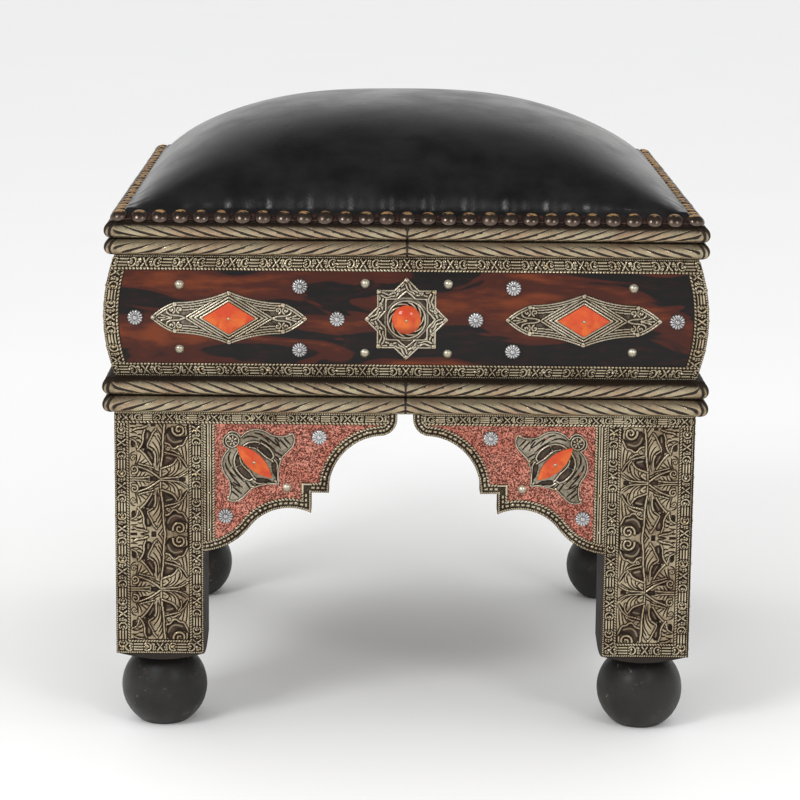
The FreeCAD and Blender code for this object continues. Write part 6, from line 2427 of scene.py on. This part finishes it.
@dataclass(frozen=True)
class Studio:
    """The floor, the lights, the surroundings and the camera."""

    place: tuple = (-0.0209, -2.3182, 0.6923)
    yaw: float = 0.457
    pitch: float = 11.576
    roll: float = 0.583
    lens: float = 127.66

    def camera(self) -> None:
        """Sets the camera at the photograph's viewing angle."""
        yaw, pitch, roll = (math.radians(angle) for angle in (self.yaw, self.pitch, self.roll))
        ahead = np.array([math.sin(yaw) * math.cos(pitch), math.cos(yaw) * math.cos(pitch), -math.sin(pitch)])
        right = np.array([math.cos(yaw), -math.sin(yaw), 0.0])
        up = np.cross(right, ahead)
        across = math.cos(roll) * right + math.sin(roll) * up
        upward = -math.sin(roll) * right + math.cos(roll) * up
        data = bpy.data.cameras.new("camera")
        data.lens = self.lens
        data.sensor_width = 36.0
        data.clip_end = 50.0
        made = linked("camera", data)
        rows = [[across[i], upward[i], -ahead[i], self.place[i]] for i in range(3)] + [[0, 0, 0, 1]]
        made.matrix_world = Matrix(rows)
        bpy.context.scene.camera = made

    def floor(self) -> None:
        """Lays a wide pale floor."""
        mesh = bpy.data.meshes.new("studio_floor")
        size = 14.0
        mesh.from_pydata([(-size, -size, 0), (size, -size, 0), (size, size, 0), (-size, size, 0)], [],
                         [(0, 1, 2, 3)])
        material, tree, shader = start_material("pale floor", 0.0, Roughness=0.8)
        cloud = tree.noise(tree.place(), 3.0, 2.0)
        tree.feed(shader.inputs["Base Color"], tree.mix(cloud, (0.94, 0.94, 0.94, 1.0),
                                                        (0.965, 0.965, 0.965, 1.0)))
        mesh.materials.append(material)
        made = linked("studio_floor", mesh)

    @staticmethod
    def lamp(name: str, place: tuple, aim: tuple, size: tuple, power: float,
             colour: tuple = (1, 1, 1)) -> None:
        """Hangs one soft rectangular light.

        Args:
            name: The light's name.
            place: Where it hangs.
            aim: Where it points.
            size: Its two sides.
            power: Its power in watts.
            colour: Its colour.
        """
        data = bpy.data.lights.new(name, "AREA")
        data.shape = "RECTANGLE"
        data.size, data.size_y = size
        data.energy = power
        data.color = colour
        back = np.array(place, float) - np.array(aim, float)
        back /= np.linalg.norm(back)
        side = np.cross((0.0, 0.0, 1.0) if abs(back[2]) < 0.98 else (0.0, 1.0, 0.0), back)
        side /= np.linalg.norm(side)
        up = np.cross(back, side)
        rows = [[side[i], up[i], back[i], place[i]] for i in range(3)] + [[0, 0, 0, 1]]
        linked(name, data).matrix_world = Matrix(rows)

    def surroundings(self) -> None:
        """A white background for the eye, and a softer grey one for light and reflections."""
        world = bpy.data.worlds.new("studio")
        bpy.context.scene.world = world
        world.use_nodes = True
        tree = Tree(world.node_tree)
        world.node_tree.nodes.clear()
        spot = tree.add("ShaderNodeSeparateXYZ", {0: tree.add("ShaderNodeTexCoord").outputs["Generated"]})
        low = tree.between(spot.outputs["Z"], 0.66, 0.08)
        grey = tree.mix(low, (0.07, 0.07, 0.073, 1.0), (1.0, 0.995, 0.99, 1.0))
        seen = tree.add("ShaderNodeLightPath").outputs["Is Glossy Ray"]
        mirrored = tree.add("ShaderNodeBackground", {"Color": grey, "Strength": 1.0})
        white = tree.add("ShaderNodeBackground", {"Color": (1.0, 1.0, 1.0, 1.0), "Strength": 0.95})
        mixed = tree.add("ShaderNodeMixShader", {0: seen, 1: white.outputs[0], 2: mirrored.outputs[0]})
        tree.add("ShaderNodeOutputWorld", {"Surface": mixed.outputs[0]})

    def build(self) -> None:
        """Sets up the studio."""
        self.camera()
        self.floor()
        self.surroundings()
        self.lamp("front_left", (-1.5, -1.9, 1.9), (0.0, 0.0, 0.30), (0.8, 0.8), 26.0)
        self.lamp("front_right", (1.3, -2.2, 1.7), (0.0, 0.0, 0.30), (0.6, 0.6), 11.0)
        scene = bpy.context.scene
        scene.view_settings.view_transform = "Standard"
        scene.view_settings.look = "None"


def main() -> None:
    """Builds the studio and every piece of the stool."""
    logging.basicConfig(level=logging.INFO, format="%(name)s: %(message)s")
    Studio().build()
    layout = Layout.read()
    finishes = Finishes()
    Woodwork(finishes).build()
    Cushion(layout, finishes).build()
    RopeMoulding(layout, finishes).build()
    FriezeMetal(layout, finishes).build()
    LegMetal(layout, finishes).build()
    ArchMetal(layout, finishes).build()
    CoverNails(layout, finishes).build()
    Rosettes(layout, finishes).build()


if __name__ == "__main__":
    main()
